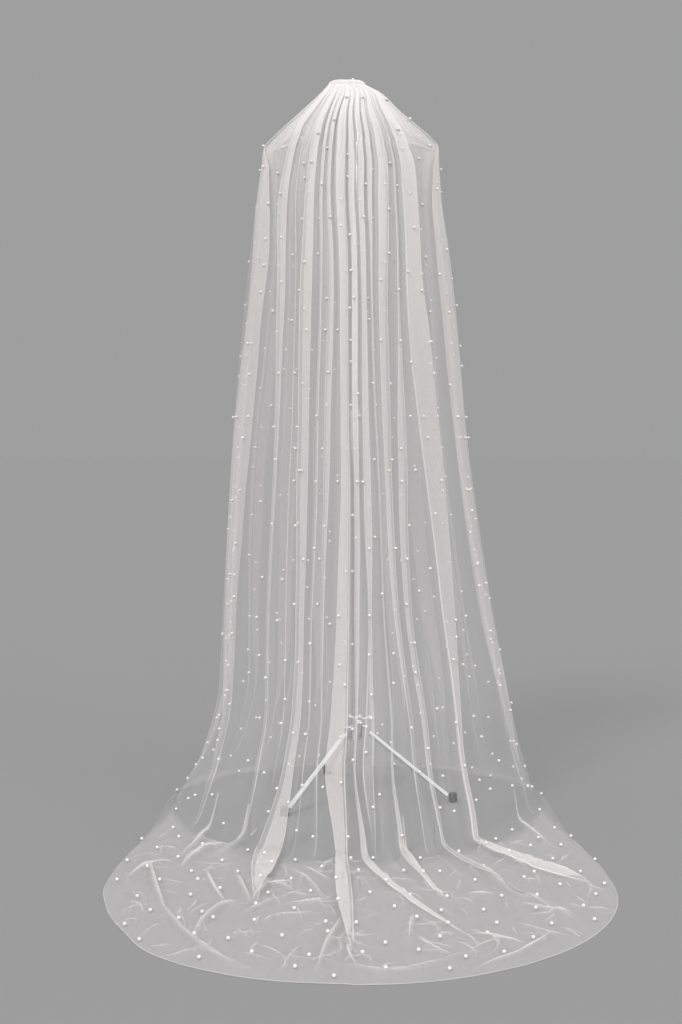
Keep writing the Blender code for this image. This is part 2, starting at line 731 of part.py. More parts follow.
def make_legs(collection):
    """Three sloping legs, each from its bracket on the hub to its rubber foot."""
    high_reach = HUB_RADIUS + SEAM + LUG_REACH
    low_reach = FOOT_REACH - FOOT_RADIUS
    slope = math.atan2(LEG_TOP - LEG_LOW, low_reach - high_reach)
    end_room = LEG_RADIUS * math.sin(slope) + SEAM
    fall = end_room * math.tan(slope)
    for index, turn in enumerate(LEG_TURNS, start=1):
        make_lug(f"stand_lug_{index}", turn, collection)
        points = [
            turned_out(turn, high_reach + end_room, LEG_TOP - fall),
            turned_out(turn, low_reach - end_room, LEG_LOW + fall),
        ]
        make_tube(f"stand_leg_{index}", points, LEG_RADIUS, collection)
        name = f"stand_foot_{index}"
        foot = make_post(name, 0.0, FOOT_HEIGHT, FOOT_RADIUS, collection, "rubber", ROUND_EDGE)
        foot.location = turned_out(turn, FOOT_REACH, 0.0)


Knob = namedtuple("Knob", "name turn height stem")
KNOBS = (
    Knob("stand_knob_front", 20.0, 0.200, 0.006),
    Knob("stand_knob_side", 104.0, 0.204, 0.014),
)


def make_knob(knob, collection):
    """A ball-headed clamp screw in the side of the hub."""
    profile = [(0.0, knob.stem + 2.0 * KNOB_RADIUS)]
    for step in range(1, BALL_STEPS + 1):
        angle = math.pi * step / (BALL_STEPS + 1.5)
        radius = KNOB_RADIUS * math.sin(angle)
        profile.append((radius, knob.stem + KNOB_RADIUS * (1.0 + math.cos(angle))))
    profile += [(KNOB_STEM_RADIUS, knob.stem), (KNOB_STEM_RADIUS, 0.0), (0.0, 0.0)]
    item = make_turned(knob.name, profile, collection, "chrome")
    item.location = turned_out(knob.turn, HUB_RADIUS + SEAM, knob.height)
    angle = math.radians(knob.turn)
    way = Vector((math.sin(angle), -math.cos(angle), 0.0))
    item.rotation_euler = way.to_track_quat("Z", "Y").to_euler()


def ball_profile(radius):
    """Half a ball that closes the end of a round bar."""
    profile = []
    for step in range(BALL_STEPS):
        angle = math.pi / 2.0 * (1.0 - step / (BALL_STEPS - 1))
        profile.append((radius * math.cos(angle), radius * math.sin(angle)))
    return profile + [(0.0, 0.0)]


def make_bar(collection):
    """The arched shoulder bar: a boss on the pole and an arm to each side, with round ends."""
    low, high = BAR_HEIGHT - BOSS_HALF, BAR_HEIGHT + BOSS_HALF
    make_post("stand_bar_boss", low, high, COLLAR_RADIUS, collection)
    start = COLLAR_RADIUS + SEAM + EASED_EDGE
    for name, side, reach in (
        ("stand_bar_left", -1.0, BAR_LEFT),
        ("stand_bar_right", 1.0, BAR_RIGHT),
    ):
        points = []
        for step in range(BAR_STEPS + 1):
            share = step / BAR_STEPS
            across = between(start, reach - BAR_RADIUS, share)
            height = between(BAR_HEIGHT, BAR_END_HEIGHT, share**BAR_BEND)
            points.append(at_pole(side * across, 0.0, height))
        make_tube(name, points, BAR_RADIUS, collection)
        end = make_turned(f"{name}_end", ball_profile(BAR_RADIUS), collection, "chrome")
        run = (points[-1] - points[-2]).normalized()
        end.location = points[-1] + run * SEAM
        end.rotation_euler = run.to_track_quat("Z", "Y").to_euler()


def make_stand(collection):
    make_post("stand_hub", HUB_LOW, HUB_HIGH, HUB_RADIUS, collection, edge=ROUND_EDGE)
    make_legs(collection)
    for knob in KNOBS:
        make_knob(knob, collection)
    collar_low, collar_high = POLE_JOIN + SEAM, POLE_JOIN + COLLAR_LENGTH
    boss_low, boss_high = BAR_HEIGHT - BOSS_HALF, BAR_HEIGHT + BOSS_HALF
    make_post("stand_pole_lower", HUB_HIGH + SEAM, POLE_JOIN, POLE_RADIUS, collection)
    make_post("stand_collar", collar_low, collar_high, COLLAR_RADIUS, collection)
    make_post("stand_pole_upper", collar_high + SEAM, boss_low - SEAM, NECK_RADIUS, collection)
    make_bar(collection)
    make_post("stand_neck", boss_high + SEAM, COMB_TOP, NECK_RADIUS, collection)


def main():
    clear_scene()
    collection = new_collection("cathedral_veil_on_stand")
    make_stand(collection)
    make_comb(collection)
    make_heading(collection)
    make_hanging_cloth(collection)
    make_train(collection)


main()
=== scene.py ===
"""Looks of a cathedral veil of pearl-strewn tulle, gathered on a comb, on a chrome display stand.

The veil is built as one grid of cloth: rings from the comb down to the floor and out over the train,
and columns that follow the cloth's threads through every fold. The grid is then cut into five
stretches, side by side. Sizes are in metres, in the frame of the CAD part: +Z up, the train towards -Y.
"Forward" is a distance from the pole towards the train, "across" one to its right. "Share" is a place
round the veil: 0 at the middle of the front, -1 and 1 at the free edges.
"""

import math
from collections import namedtuple

import bmesh
import bpy
import numpy as np
from bpy.props import FloatProperty, FloatVectorProperty, PointerProperty
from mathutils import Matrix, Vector
from mathutils.bvhtree import BVHTree


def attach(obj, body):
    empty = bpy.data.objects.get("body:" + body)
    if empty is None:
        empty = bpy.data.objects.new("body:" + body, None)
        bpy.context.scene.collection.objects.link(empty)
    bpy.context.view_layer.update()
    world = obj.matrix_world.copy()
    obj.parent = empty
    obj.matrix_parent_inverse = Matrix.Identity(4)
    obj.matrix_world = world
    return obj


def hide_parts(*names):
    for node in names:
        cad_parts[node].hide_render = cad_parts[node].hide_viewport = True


bl_info = {
    "name": "Cathedral veil",
    "version": (1, 0, 0),
    "blender": (4, 5, 0),
    "location": "View3D > Sidebar > Veil",
    "description": "Makes the tulle, pearls and finishes of a veil on its display stand",
    "category": "Object",
}

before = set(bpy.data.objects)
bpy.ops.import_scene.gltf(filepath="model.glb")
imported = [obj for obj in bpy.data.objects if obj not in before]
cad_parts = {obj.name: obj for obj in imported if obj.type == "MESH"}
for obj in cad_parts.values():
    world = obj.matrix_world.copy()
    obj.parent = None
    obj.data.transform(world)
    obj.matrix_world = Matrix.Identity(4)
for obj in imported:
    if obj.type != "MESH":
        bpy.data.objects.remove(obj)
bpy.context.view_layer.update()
BODY = "root"

# Where the cloth hangs
FREE_EDGE_TURN = 174.0
HEM_RADIUS = 0.550
HEM_CENTRE = 0.750
HEM_FORWARD = HEM_CENTRE + HEM_RADIUS
HEM_BACK = 0.365
POLE_Y = (HEM_FORWARD - HEM_BACK) / 2.0
LYING = 0.0006
VEIL_TOP = 1.897

# Rings: how far the cloth reaches from the pole at each height, how square the ring is, its lean, and
# how many finer rows lie between it and the next one
RingRow = namedtuple("RingRow", "height left right front back square lean finer")
RING_ROWS = (
    RingRow(1.884, 0.070, 0.027, 0.022, 0.016, 3.0, 0, 4),
    RingRow(1.860, 0.092, 0.071, 0.034, 0.030, 2.4, 0, 5),
    RingRow(1.815, 0.137, 0.114, 0.052, 0.050, 2.0, 0, 6),
    RingRow(1.740, 0.213, 0.196, 0.078, 0.082, 1.8, 0, 3),
    RingRow(1.720, 0.229, 0.211, 0.086, 0.090, 1.8, 0, 3),
    RingRow(1.700, 0.234, 0.213, 0.094, 0.096, 1.8, 0, 6),
    RingRow(1.580, 0.250, 0.219, 0.130, 0.122, 1.9, 0, 6),
    RingRow(1.440, 0.265, 0.238, 0.167, 0.148, 1.9, 0, 6),
    RingRow(1.300, 0.279, 0.253, 0.203, 0.172, 1.9, 0, 13),
    RingRow(0.950, 0.309, 0.283, 0.283, 0.222, 1.9, 0, 15),
    RingRow(0.550, 0.335, 0.341, 0.368, 0.275, 1.9, 0, 11),
    RingRow(0.300, 0.350, 0.391, 0.422, 0.302, 1.9, 4, 9),
    RingRow(0.150, 0.393, 0.427, 0.468, 0.320, 1.9, 10, 7),
    RingRow(0.060, 0.435, 0.456, 0.510, 0.332, 1.9, 25, 6),
    RingRow(0.012, 0.460, 0.468, 0.545, 0.337, 1.9, 50, 3),
    RingRow(LYING, 0.474, 0.480, 0.560, 0.343, 1.9, 90, 0),
)
TRAIN_ROWS = 104
HEM_STEPS = (0.990, 0.996, 1.0)

# Side and back of the hem, from where the round front ends
HemPoint = namedtuple("HemPoint", "across forward")
HEM_SIDE = (
    HemPoint(0.545, 0.620),
    HemPoint(0.530, 0.500),
    HemPoint(0.512, 0.380),
    HemPoint(0.505, 0.200),
    HemPoint(0.502, 0.040),
    HemPoint(0.486, -0.100),
    HemPoint(0.452, -0.200),
    HemPoint(0.390, -0.280),
    HemPoint(0.300, -0.335),
    HemPoint(0.180, -0.360),
    HemPoint(0.050, -HEM_BACK),
)
# The hem's left corner lies flatter than the right one: how far out it is, by its turn from the front
HemCorner = namedtuple("HemCorner", "degrees reach")
HEM_LEFT = (
    HemCorner(0.0, 0.990),
    HemCorner(29.0, 1.004),
    HemCorner(43.0, 1.000),
    HemCorner(59.0, 0.958),
    HemCorner(75.0, 0.952),
    HemCorner(90.0, 0.966),
    HemCorner(140.0, 0.975),
    HemCorner(180.0, 1.000),
)
HemShare = namedtuple("HemShare", "contact hem")
HEM_SHARES = (
    HemShare(0.00, 0.00),
    HemShare(0.40, 0.40),
    HemShare(0.50, 0.54),
    HemShare(0.60, 0.72),
    HemShare(0.75, 0.85),
    HemShare(1.00, 1.00),
)

# Folds: shares at the comb, at seven heights down the fall and at the floor; widths at the same heights
# after the comb; depth; which way and how far it laps; how far it runs out over the train; its share at
# that end, or at the hem where it ends at once; its width on the train
Fold = namedtuple("Fold", "name shares widths stand_out lap reach tip leaf")
FOLD_HEIGHTS = (1.884, 1.775, 1.720, 1.660, 1.295, 0.900, 0.510, 0.200, 0.0)
FOLDS = (
    Fold("edge_left_1", (-0.920, -0.925, -0.928, -0.930, -0.935, -0.930, -0.925, -0.930, -0.930),
         (0.015, 0.019, 0.022, 0.028, 0.032, 0.034, 0.034, 0.030), 0.018, 1.0, 0.30, -0.93, 0.01),
    Fold("edge_left_2", (-0.810, -0.820, -0.826, -0.830, -0.825, -0.835, -0.830, -0.830, -0.830),
         (0.018, 0.022, 0.026, 0.036, 0.042, 0.042, 0.036, 0.030), 0.024, 1.0, 0.30, -0.83, 0.01),
    Fold("edge_left_3", (-0.700, -0.715, -0.723, -0.730, -0.735, -0.725, -0.730, -0.735, -0.730),
         (0.020, 0.024, 0.028, 0.040, 0.046, 0.040, 0.032, 0.024), 0.022, -1.0, 0.30, -0.73, 0.01),
    Fold("side_left", (-0.600, -0.610, -0.616, -0.620, -0.625, -0.615, -0.620, -0.620, -0.620),
         (0.017, 0.021, 0.024, 0.034, 0.038, 0.034, 0.028, 0.020), 0.018, -1.0, 0.30, -0.62, 0.01),
    Fold("hip_left", (-0.530, -0.525, -0.522, -0.520, -0.510, -0.515, -0.510, -0.505, -0.500),
         (0.010, 0.012, 0.014, 0.022, 0.026, 0.028, 0.024, 0.016), 0.014, 1.0, 0.30, -0.47, 0.01),
    Fold("rim_left", (-0.460, -0.490, -0.495, -0.450, -0.378, -0.384, -0.390, -0.380, -0.360),
         (0.006, 0.006, 0.052, 0.076, 0.105, 0.090, 0.044, 0.010), 0.022, 1.0, 0.02, -0.33, 0.01),
    Fold("slim_left", (-0.390, -0.351, -0.311, -0.311, -0.256, -0.222, -0.228, -0.232, -0.215),
         (0.031, 0.032, 0.033, 0.026, 0.011, 0.009, 0.009, 0.006), 0.018, 1.0, 0.02, -0.17, 0.008),
    Fold("arc_left", (-0.320, -0.297, -0.265, -0.262, -0.205, -0.180, -0.182, -0.186, -0.184),
         (0.003, 0.003, 0.003, 0.003, 0.003, 0.003, 0.004, 0.004), 0.006, 0.0, 0.05, -0.13, 0.004),
    Fold("broad_left", (-0.250, -0.215, -0.189, -0.183, -0.154, -0.130, -0.133, -0.146, -0.147),
         (0.040, 0.042, 0.043, 0.043, 0.038, 0.041, 0.045, 0.076), 0.024, 1.0, 0.48, -0.119, 0.060),
    Fold("line_left", (-0.180, -0.161, -0.141, -0.134, -0.104, -0.092, -0.109, -0.120, -0.108),
         (0.010, 0.010, 0.010, 0.007, 0.007, 0.006, 0.005, 0.004), 0.014, 1.0, 0.05, -0.07, 0.004),
    Fold("inner_left", (-0.110, -0.121, -0.106, -0.099, -0.065, -0.062, -0.080, -0.092, -0.070),
         (0.010, 0.010, 0.010, 0.014, 0.016, 0.007, 0.006, 0.007), 0.018, 1.0, 0.05, -0.035, 0.006),
    Fold("middle", (-0.040, -0.065, -0.055, -0.047, -0.019, -0.014, -0.032, -0.053, -0.024),
         (0.038, 0.035, 0.032, 0.036, 0.038, 0.050, 0.048, 0.026), 0.024, -1.0, 0.83, -0.006, 0.034),
    Fold("over_pole", (0.030, -0.004, -0.001, 0.009, 0.018, 0.017, -0.001, -0.016, 0.014),
         (0.015, 0.016, 0.017, 0.019, 0.019, 0.012, 0.006, 0.015), 0.018, 1.0, 0.80, 0.112, 0.028),
    Fold("inner_right", (0.100, 0.047, 0.045, 0.055, 0.049, 0.046, 0.028, 0.010, 0.031),
         (0.018, 0.016, 0.015, 0.014, 0.023, 0.009, 0.024, 0.003), 0.018, 1.0, 0.03, 0.139, 0.006),
    Fold("second_leaf", (0.170, 0.094, 0.087, 0.097, 0.078, 0.077, 0.062, 0.057, 0.077),
         (0.010, 0.012, 0.013, 0.005, 0.004, 0.004, 0.006, 0.012), 0.014, 1.0, 0.50, 0.108, 0.018),
    Fold("slim_right", (0.240, 0.159, 0.146, 0.159, 0.115, 0.104, 0.090, 0.102, 0.122),
         (0.018, 0.029, 0.038, 0.039, 0.022, 0.015, 0.008, 0.006), 0.020, -1.0, 0.03, 0.175, 0.006),
    Fold("line_right", (0.310, 0.223, 0.205, 0.219, 0.176, 0.151, 0.124, 0.131, 0.152),
         (0.003, 0.004, 0.005, 0.007, 0.024, 0.020, 0.014, 0.008), 0.014, -1.0, 0.87, 0.236, 0.009),
    Fold("broad_right", (0.385, 0.294, 0.269, 0.287, 0.242, 0.248, 0.232, 0.212, 0.222),
         (0.039, 0.056, 0.070, 0.067, 0.067, 0.037, 0.014, 0.018), 0.024, 1.0, 0.78, 0.322, 0.046),
    Fold("rim_right", (0.460, 0.485, 0.490, 0.455, 0.395, 0.396, 0.404, 0.440, 0.450),
         (0.006, 0.006, 0.030, 0.063, 0.075, 0.090, 0.060, 0.020), 0.022, -1.0, 0.03, 0.45, 0.01),
    Fold("hip_right", (0.530, 0.525, 0.522, 0.520, 0.515, 0.520, 0.530, 0.540, 0.540),
         (0.010, 0.012, 0.014, 0.022, 0.026, 0.028, 0.022, 0.014), 0.014, 1.0, 0.30, 0.53, 0.01),
    Fold("side_right", (0.600, 0.615, 0.623, 0.630, 0.625, 0.635, 0.630, 0.630, 0.630),
         (0.017, 0.021, 0.024, 0.034, 0.038, 0.034, 0.028, 0.020), 0.018, 1.0, 0.30, 0.63, 0.01),
    Fold("edge_right_3", (0.700, 0.720, 0.731, 0.740, 0.735, 0.745, 0.740, 0.740, 0.740),
         (0.020, 0.024, 0.028, 0.040, 0.046, 0.040, 0.032, 0.024), 0.022, 1.0, 0.30, 0.74, 0.01),
    Fold("edge_right_2", (0.810, 0.825, 0.833, 0.840, 0.845, 0.835, 0.840, 0.840, 0.840),
         (0.018, 0.022, 0.026, 0.036, 0.042, 0.042, 0.036, 0.030), 0.024, -1.0, 0.30, 0.84, 0.01),
    Fold("edge_right_1", (0.920, 0.930, 0.935, 0.940, 0.940, 0.935, 0.940, 0.940, 0.940),
         (0.015, 0.019, 0.022, 0.028, 0.032, 0.034, 0.034, 0.030), 0.018, -1.0, 0.30, 0.94, 0.01),
)
DEPTH_HEIGHTS = (1.884, 1.700, 1.000, 0.0)
WIDTH_AT_COMB = 0.003
DEPTH_AT_COMB = 0.0014
SHOULDER_DEPTH = 0.62
LEAF_DEPTH = 0.62
KNEE = 0.12
LEAF_WIDEST = 0.4
SHORT_REACH = 0.35
SHORT_DEPTH = 0.16
END_WIDTH = 0.004
FOLD_FOOT = 0.007
FOLD_ROOM = 0.92
FOOT_ROOM = 0.3
TURNED_UNDER = 0.86
VALLEY = 0.16
DEEPEST_VALLEY = 0.014

# Stretches of the veil: the first and the last of their folds, the CAD nodes that they stand for
Stretch = namedtuple("Stretch", "name first last nodes")
STRETCHES = (
    Stretch("left_back", 0, 2, ("veil_edge_left", "train_back_left")),
    Stretch("left", 3, 9, ("veil_side_left", "veil_front_left", "train_left")),
    Stretch("middle", 10, 13, ("veil_front_middle", "train_middle")),
    Stretch("right", 14, 20, ("veil_front_right", "veil_side_right", "train_right")),
    Stretch("right_back", 21, 23, ("veil_edge_right", "train_back_right")),
)

# How finely one fold and one trough are drawn: points along each of their straight runs
FOLD_FILLS = (2, 6, 4, 4)
TROUGH_FILL = 8
ROUNDING = (0.0, 1.0 / 3.0, 2.0 / 3.0, 1.0)
FOOT_EASE = 0.008
EDGE_EASE = 0.0024
TROUGH_EASE = 0.020
FOLD_CLAIM = 0.008
CORNERS_A_FOLD = 6

# Unevenness: how far a fold strays from its share and its width, how deep the cloth swells on the fall and
# on the train
STRAY = 0.0015
WIDTH_STRAY = 0.10
FALL_SWELL = 0.0030
TRAIN_SWELL = 0.0040

# How many more layers of thread show in a fold's body, on a sharp edge, on a crease and a crumple, over
# the cap, on the train, along the hem and in a ribbon, and the share of it that a crumple's ribbon has.
# Over the cap the added layers also stand for painted light: the sloped cap is made brighter as if lit from
# above.
BODY_PLIES = 1.3
EDGE_PLIES = 5.5
CREASE_PLIES = 2.0
CRUMPLE_PLIES = 1.1
CAP_PLIES_AND_PAINTED_LIGHT = 2.6
TRAIN_PLIES = 2.1
HEM_PLIES = 2.4
RIBBON_PLIES = 8.0
CRUMPLE_SHARE = 0.55

# The cap's lower edge, above which its added layers and painted light from above begin, is an arch: its
# height at the sides, its rise and its reach
CAP_EDGE = 1.700
CAP_RISE = 0.092
CAP_REACH = 0.225

# How far round the veil its far side begins, on the fall and on the train
FAR_SIDE = (0.44, 0.52)
FAR_TRAIN = (0.44, 0.56)

# Creases of the train: height, half width, and places that they run through (across, forward)
Crease = namedtuple("Crease", "height width places")
CREASES = (
    Crease(0.012, 0.007, ((-0.145, 0.645), (-0.105, 0.722), (-0.066, 0.833))),
    Crease(0.010, 0.006, ((-0.144, 0.879), (-0.100, 0.876), (-0.061, 0.861), (-0.045, 0.831))),
    Crease(0.016, 0.008, ((-0.259, 0.679), (-0.237, 0.787), (-0.213, 0.871))),
    Crease(0.010, 0.006, ((-0.200, 0.770), (-0.166, 0.746), (-0.126, 0.739))),
    Crease(0.009, 0.006, ((-0.163, 0.758), (-0.131, 0.789))),
    Crease(0.016, 0.009, ((-0.215, 0.872), (-0.266, 0.893), (-0.296, 0.980), (-0.309, 1.073))),
    Crease(0.014, 0.008, ((-0.397, 0.874), (-0.337, 1.032), (-0.295, 1.112), (-0.244, 1.186),
                          (-0.183, 1.232))),
    Crease(0.018, 0.010, ((-0.386, 0.634), (-0.364, 0.544), (-0.333, 0.470), (-0.277, 0.470))),
    Crease(0.018, 0.010, ((-0.326, 0.544), (-0.281, 0.490), (-0.245, 0.370), (-0.237, 0.306))),
    Crease(0.016, 0.009, ((-0.397, 0.544), (-0.372, 0.470), (-0.357, 0.349), (-0.320, 0.243))),
    Crease(0.012, 0.007, ((-0.085, 0.688), (-0.039, 0.565))),
    Crease(0.010, 0.006, ((-0.113, 0.634), (-0.085, 0.688), (-0.048, 0.722))),
    Crease(0.011, 0.007, ((-0.068, 1.244), (-0.055, 1.124), (-0.029, 0.980), (-0.025, 0.937))),
    Crease(0.009, 0.006, ((-0.015, 1.099), (-0.010, 1.173), (0.004, 1.215))),
    Crease(0.011, 0.007, ((-0.032, 1.198), (0.016, 1.232), (0.055, 1.250), (0.098, 1.238),
                          (0.157, 1.198), (0.209, 1.143))),
    Crease(0.011, 0.007, ((0.119, 1.061), (0.135, 1.118), (0.177, 1.161))),
    Crease(0.010, 0.006, ((0.102, 1.086), (0.110, 0.993), (0.122, 0.937))),
    Crease(0.012, 0.007, ((0.222, 1.047), (0.265, 1.080), (0.322, 1.106))),
    Crease(0.009, 0.006, ((0.146, 1.067), (0.193, 1.054))),
    Crease(0.009, 0.006, ((0.230, 0.818), (0.291, 0.818))),
    Crease(0.013, 0.008, ((0.159, 0.409), (0.211, 0.498), (0.279, 0.670), (0.326, 0.818), (0.415, 0.893))),
    Crease(0.014, 0.009, ((0.389, 0.196), (0.454, 0.470))),
    Crease(0.014, 0.008, ((0.094, 0.370), (0.119, 0.565), (0.156, 0.802))),
    Crease(0.011, 0.007, ((0.216, 1.221), (0.301, 1.161), (0.356, 1.086), (0.377, 1.034))),
    Crease(0.014, 0.008, ((-0.460, 0.582), (-0.428, 0.746), (-0.377, 0.935))),
    Crease(0.013, 0.008, ((-0.488, 0.711), (-0.462, 0.626), (-0.415, 0.582))),
    Crease(0.012, 0.008, ((-0.263, 0.874), (-0.297, 0.779), (-0.326, 0.655))),
    Crease(0.012, 0.007, ((-0.214, 0.868), (-0.194, 0.798), (-0.179, 0.711))),
    Crease(0.011, 0.007, ((-0.223, 0.935), (-0.188, 0.893), (-0.165, 0.843))),
    Crease(0.013, 0.008, ((0.415, 0.582), (0.458, 0.684), (0.499, 0.752))),
    Crease(0.012, 0.007, ((0.336, 0.874), (0.381, 0.917), (0.438, 0.941))),
)
CRUMPLES = 170
RIDGE_SPREAD = 1.4

# A ribbon is the doubled cloth along a crease: how much of it covers, from one side to the other, and how
# wide it is next to a crease and a crumple
RIBBON_PROFILE = ((-1.0, 0.0), (-0.45, 0.30), (0.15, 0.65), (0.70, 1.0), (1.0, 0.0))
RIBBON_WIDTH = 0.62
CRUMPLE_RIBBON_WIDTH = 0.42
RIBBON_STEP = 0.006
ABOVE_TRAIN = 0.3

# How much more closely the tulle is gathered than the grid shows, by height
GatherRow = namedtuple("GatherRow", "height factor")
FINE_GATHERS = (
    GatherRow(1.884, 2.6),
    GatherRow(1.800, 3.4),
    GatherRow(1.740, 3.0),
    GatherRow(1.660, 2.8),
    GatherRow(1.500, 2.2),
    GatherRow(1.300, 1.7),
    GatherRow(0.900, 1.2),
    GatherRow(0.500, 1.0),
    GatherRow(0.000, 1.0),
)

# Layers that lie behind one another over the pole, and how far to each side they reach, by height
MiddleRow = namedtuple("MiddleRow", "height plies reach")
MIDDLE_ROWS = (
    MiddleRow(1.884, 5.5, 0.115),
    MiddleRow(1.740, 5.0, 0.115),
    MiddleRow(1.500, 3.4, 0.085),
    MiddleRow(1.250, 2.8, 0.045),
    MiddleRow(0.800, 2.6, 0.036),
    MiddleRow(0.350, 2.8, 0.038),
    MiddleRow(0.120, 0.0, 0.030),
    MiddleRow(0.000, 0.0, 0.030),
)
MIDDLE_PLACE = -0.008

# Height of the pearl on the left shoulder
SHOULDER_PEARL = 1.721

# Pearls: how unevenly they are strewn, how many are kept on the cap and below it for each time the cloth is
# gathered, how near a drawn column they lie, and how deep they sit in the net
PEARL_STRAY = 0.32
PEARL_SLIP = 0.42
CAP_FOOT = 1.64
KEPT_ON_CAP = 1.3
KEPT_BELOW = 3.0
PEARL_NEAR = 0.012
PEARL_NEARER = 0.030
PEARL_ON_TRAIN = 0.009
TRAIN_STRAY = 0.024
PEARL_SEAT = 0.86

# The heading: how far its ends draw in at the top, how round its edge is, and how uneven its top is
HEADING_DRAWN_IN = 0.36
HEADING_ROUNDNESS = 0.4
HEADING_PUCKER = 0.0014

Cloth = namedtuple("Cloth", "points normals cut plies outer ends gathered")
Extra = namedtuple("Extra", "points faces normals cut plies")


# Sizes and colours that a user would change


class VeilTulle(bpy.types.PropertyGroup):
    colour: FloatVectorProperty(
        name="Colour", description="Colour of the tulle's threads", subtype="COLOR",
        size=3, min=0.0, max=1.0, default=(0.785, 0.760, 0.752),
    )
    shade: FloatVectorProperty(
        name="Shade", description="Colour of the tulle where its threads lie closer", subtype="COLOR",
        size=3, min=0.0, max=1.0, default=(0.70, 0.672, 0.672),
    )
    cover: FloatProperty(
        name="Cover of one layer", description="Share of the light that one layer of net stops",
        subtype="FACTOR", min=0.02, max=0.9, default=0.08,
    )
    width: FloatProperty(
        name="Width of the cut", description="Width of the tulle that is gathered onto the comb",
        subtype="DISTANCE", unit="LENGTH", min=2.0, max=5.0, default=3.2,
    )
    cell: FloatProperty(
        name="Cell", description="Width of one hole of the net",
        subtype="DISTANCE", unit="LENGTH", min=0.0005, max=0.01, default=0.0022,
    )


class VeilPearls(bpy.types.PropertyGroup):
    colour: FloatVectorProperty(
        name="Colour", description="Colour of the pearls", subtype="COLOR",
        size=3, min=0.0, max=1.0, default=(0.74, 0.722, 0.70),
    )
    diameter: FloatProperty(
        name="Diameter", description="Diameter of one pearl",
        subtype="DISTANCE", unit="LENGTH", min=0.003, max=0.015, default=0.0076,
    )
    spacing: FloatProperty(
        name="Spacing", description="Distance between two pearls on the hanging cloth",
        subtype="DISTANCE", unit="LENGTH", min=0.03, max=0.2, default=0.102,
    )
    train_spacing: FloatProperty(
        name="Spacing on the train", description="Distance between two pearls where the cloth lies",
        subtype="DISTANCE", unit="LENGTH", min=0.03, max=0.2, default=0.094,
    )


class VeilStand(bpy.types.PropertyGroup):
    chrome: FloatVectorProperty(
        name="Chrome", description="Colour of the polished stand", subtype="COLOR",
        size=3, min=0.0, max=1.0, default=(0.80, 0.81, 0.82),
    )
    rubber: FloatVectorProperty(
        name="Rubber", description="Colour of the stand's feet", subtype="COLOR",
        size=3, min=0.0, max=1.0, default=(0.035, 0.035, 0.036),
    )
    comb: FloatVectorProperty(
        name="Comb", description="Colour of the clear plastic comb", subtype="COLOR",
        size=3, min=0.0, max=1.0, default=(0.86, 0.86, 0.87),
    )


class VeilStage(bpy.types.PropertyGroup):
    floor: FloatVectorProperty(
        name="Floor", description="Colour of the floor and the backdrop", subtype="COLOR",
        size=3, min=0.0, max=1.0, default=(0.235, 0.235, 0.238),
    )
    backdrop: FloatProperty(
        name="Backdrop light", description="How bright the backdrop is next to its colour",
        min=0.0, max=10.0, default=1.465,
    )
    distance: FloatProperty(
        name="Camera distance", description="Distance from the camera to the pole",
        subtype="DISTANCE", unit="LENGTH", min=1.0, max=10.0, default=3.77,
    )
    height: FloatProperty(
        name="Camera height", description="Height of the camera above the floor",
        subtype="DISTANCE", unit="LENGTH", min=0.1, max=3.0, default=0.955,
    )


# Smooth tables


def smooth_curve(places, knots, values):
    """A smooth curve through values given at rising knots. It never goes beyond them."""
    places = np.asarray(places, float)
    knots = np.asarray(knots, float)
    values = np.asarray(values, float).reshape(len(knots), -1)
    step = np.diff(knots)
    slope = np.diff(values, axis=0) / step[:, None]
    tangent = np.zeros_like(values)
    product = slope[:-1] * slope[1:]
    total = np.where(product > 0.0, slope[:-1] + slope[1:], 1.0)
    tangent[1:-1] = np.where(product > 0.0, 2.0 * product / total, 0.0)
    tangent[0], tangent[-1] = slope[0], slope[-1]
    index = np.clip(np.searchsorted(knots, places, side="right") - 1, 0, len(step) - 1)
    run = step[index][:, None]
    share = np.clip((places - knots[index]) / step[index], 0.0, 1.0)[:, None]
    rest = 1.0 - share
    return (
        values[index] * (1.0 + 2.0 * share) * rest**2
        + tangent[index] * run * share * rest**2
        + values[index + 1] * share**2 * (3.0 - 2.0 * share)
        - tangent[index + 1] * run * share**2 * rest
    )


def by_height(heights, knots, values):
    """The same for values given at falling heights."""
    return smooth_curve(-heights, [-knot for knot in knots], values)


def eased(values, low, high):
    """A smooth step from 0 at low to 1 at high."""
    share = np.clip((values - low) / (high - low), 0.0, 1.0)
    return share * share * (3.0 - 2.0 * share)


def wander(places, seed, waves=3, longest=1.0):
    """A gentle wandering line between -1 and 1."""
    rng = np.random.default_rng(seed)
    total = np.zeros_like(places)
    for wave in range(waves):
        length = longest / (1.0 + wave * rng.uniform(0.7, 1.3))
        total += np.sin(2.0 * math.pi * (places / length + rng.uniform())) / (1.0 + wave)
    return total / 1.8


# Rings


def even_points(across, forward, count=721):
    """An outline's points, spaced evenly along it."""
    arc = np.concatenate([[0.0], np.cumsum(np.hypot(np.diff(across), np.diff(forward)))])
    places = np.linspace(0.0, arc[-1], count)
    return np.interp(places, arc, across), np.interp(places, arc, forward)


def hanging_outline(left, right, front, back, square):
    """A rounded outline from the left free edge, round the front, to the right free edge."""
    turn = np.radians(np.linspace(-FREE_EDGE_TURN, FREE_EDGE_TURN, 1441))
    power = 2.0 / square
    across = (right - left) / 2.0 + (right + left) / 2.0 * np.sign(np.sin(turn)) * np.abs(
        np.sin(turn)
    ) ** power
    depth = np.where(np.cos(turn) >= 0.0, front, back)
    forward = depth * np.sign(np.cos(turn)) * np.abs(np.cos(turn)) ** power
    return even_points(across, forward)


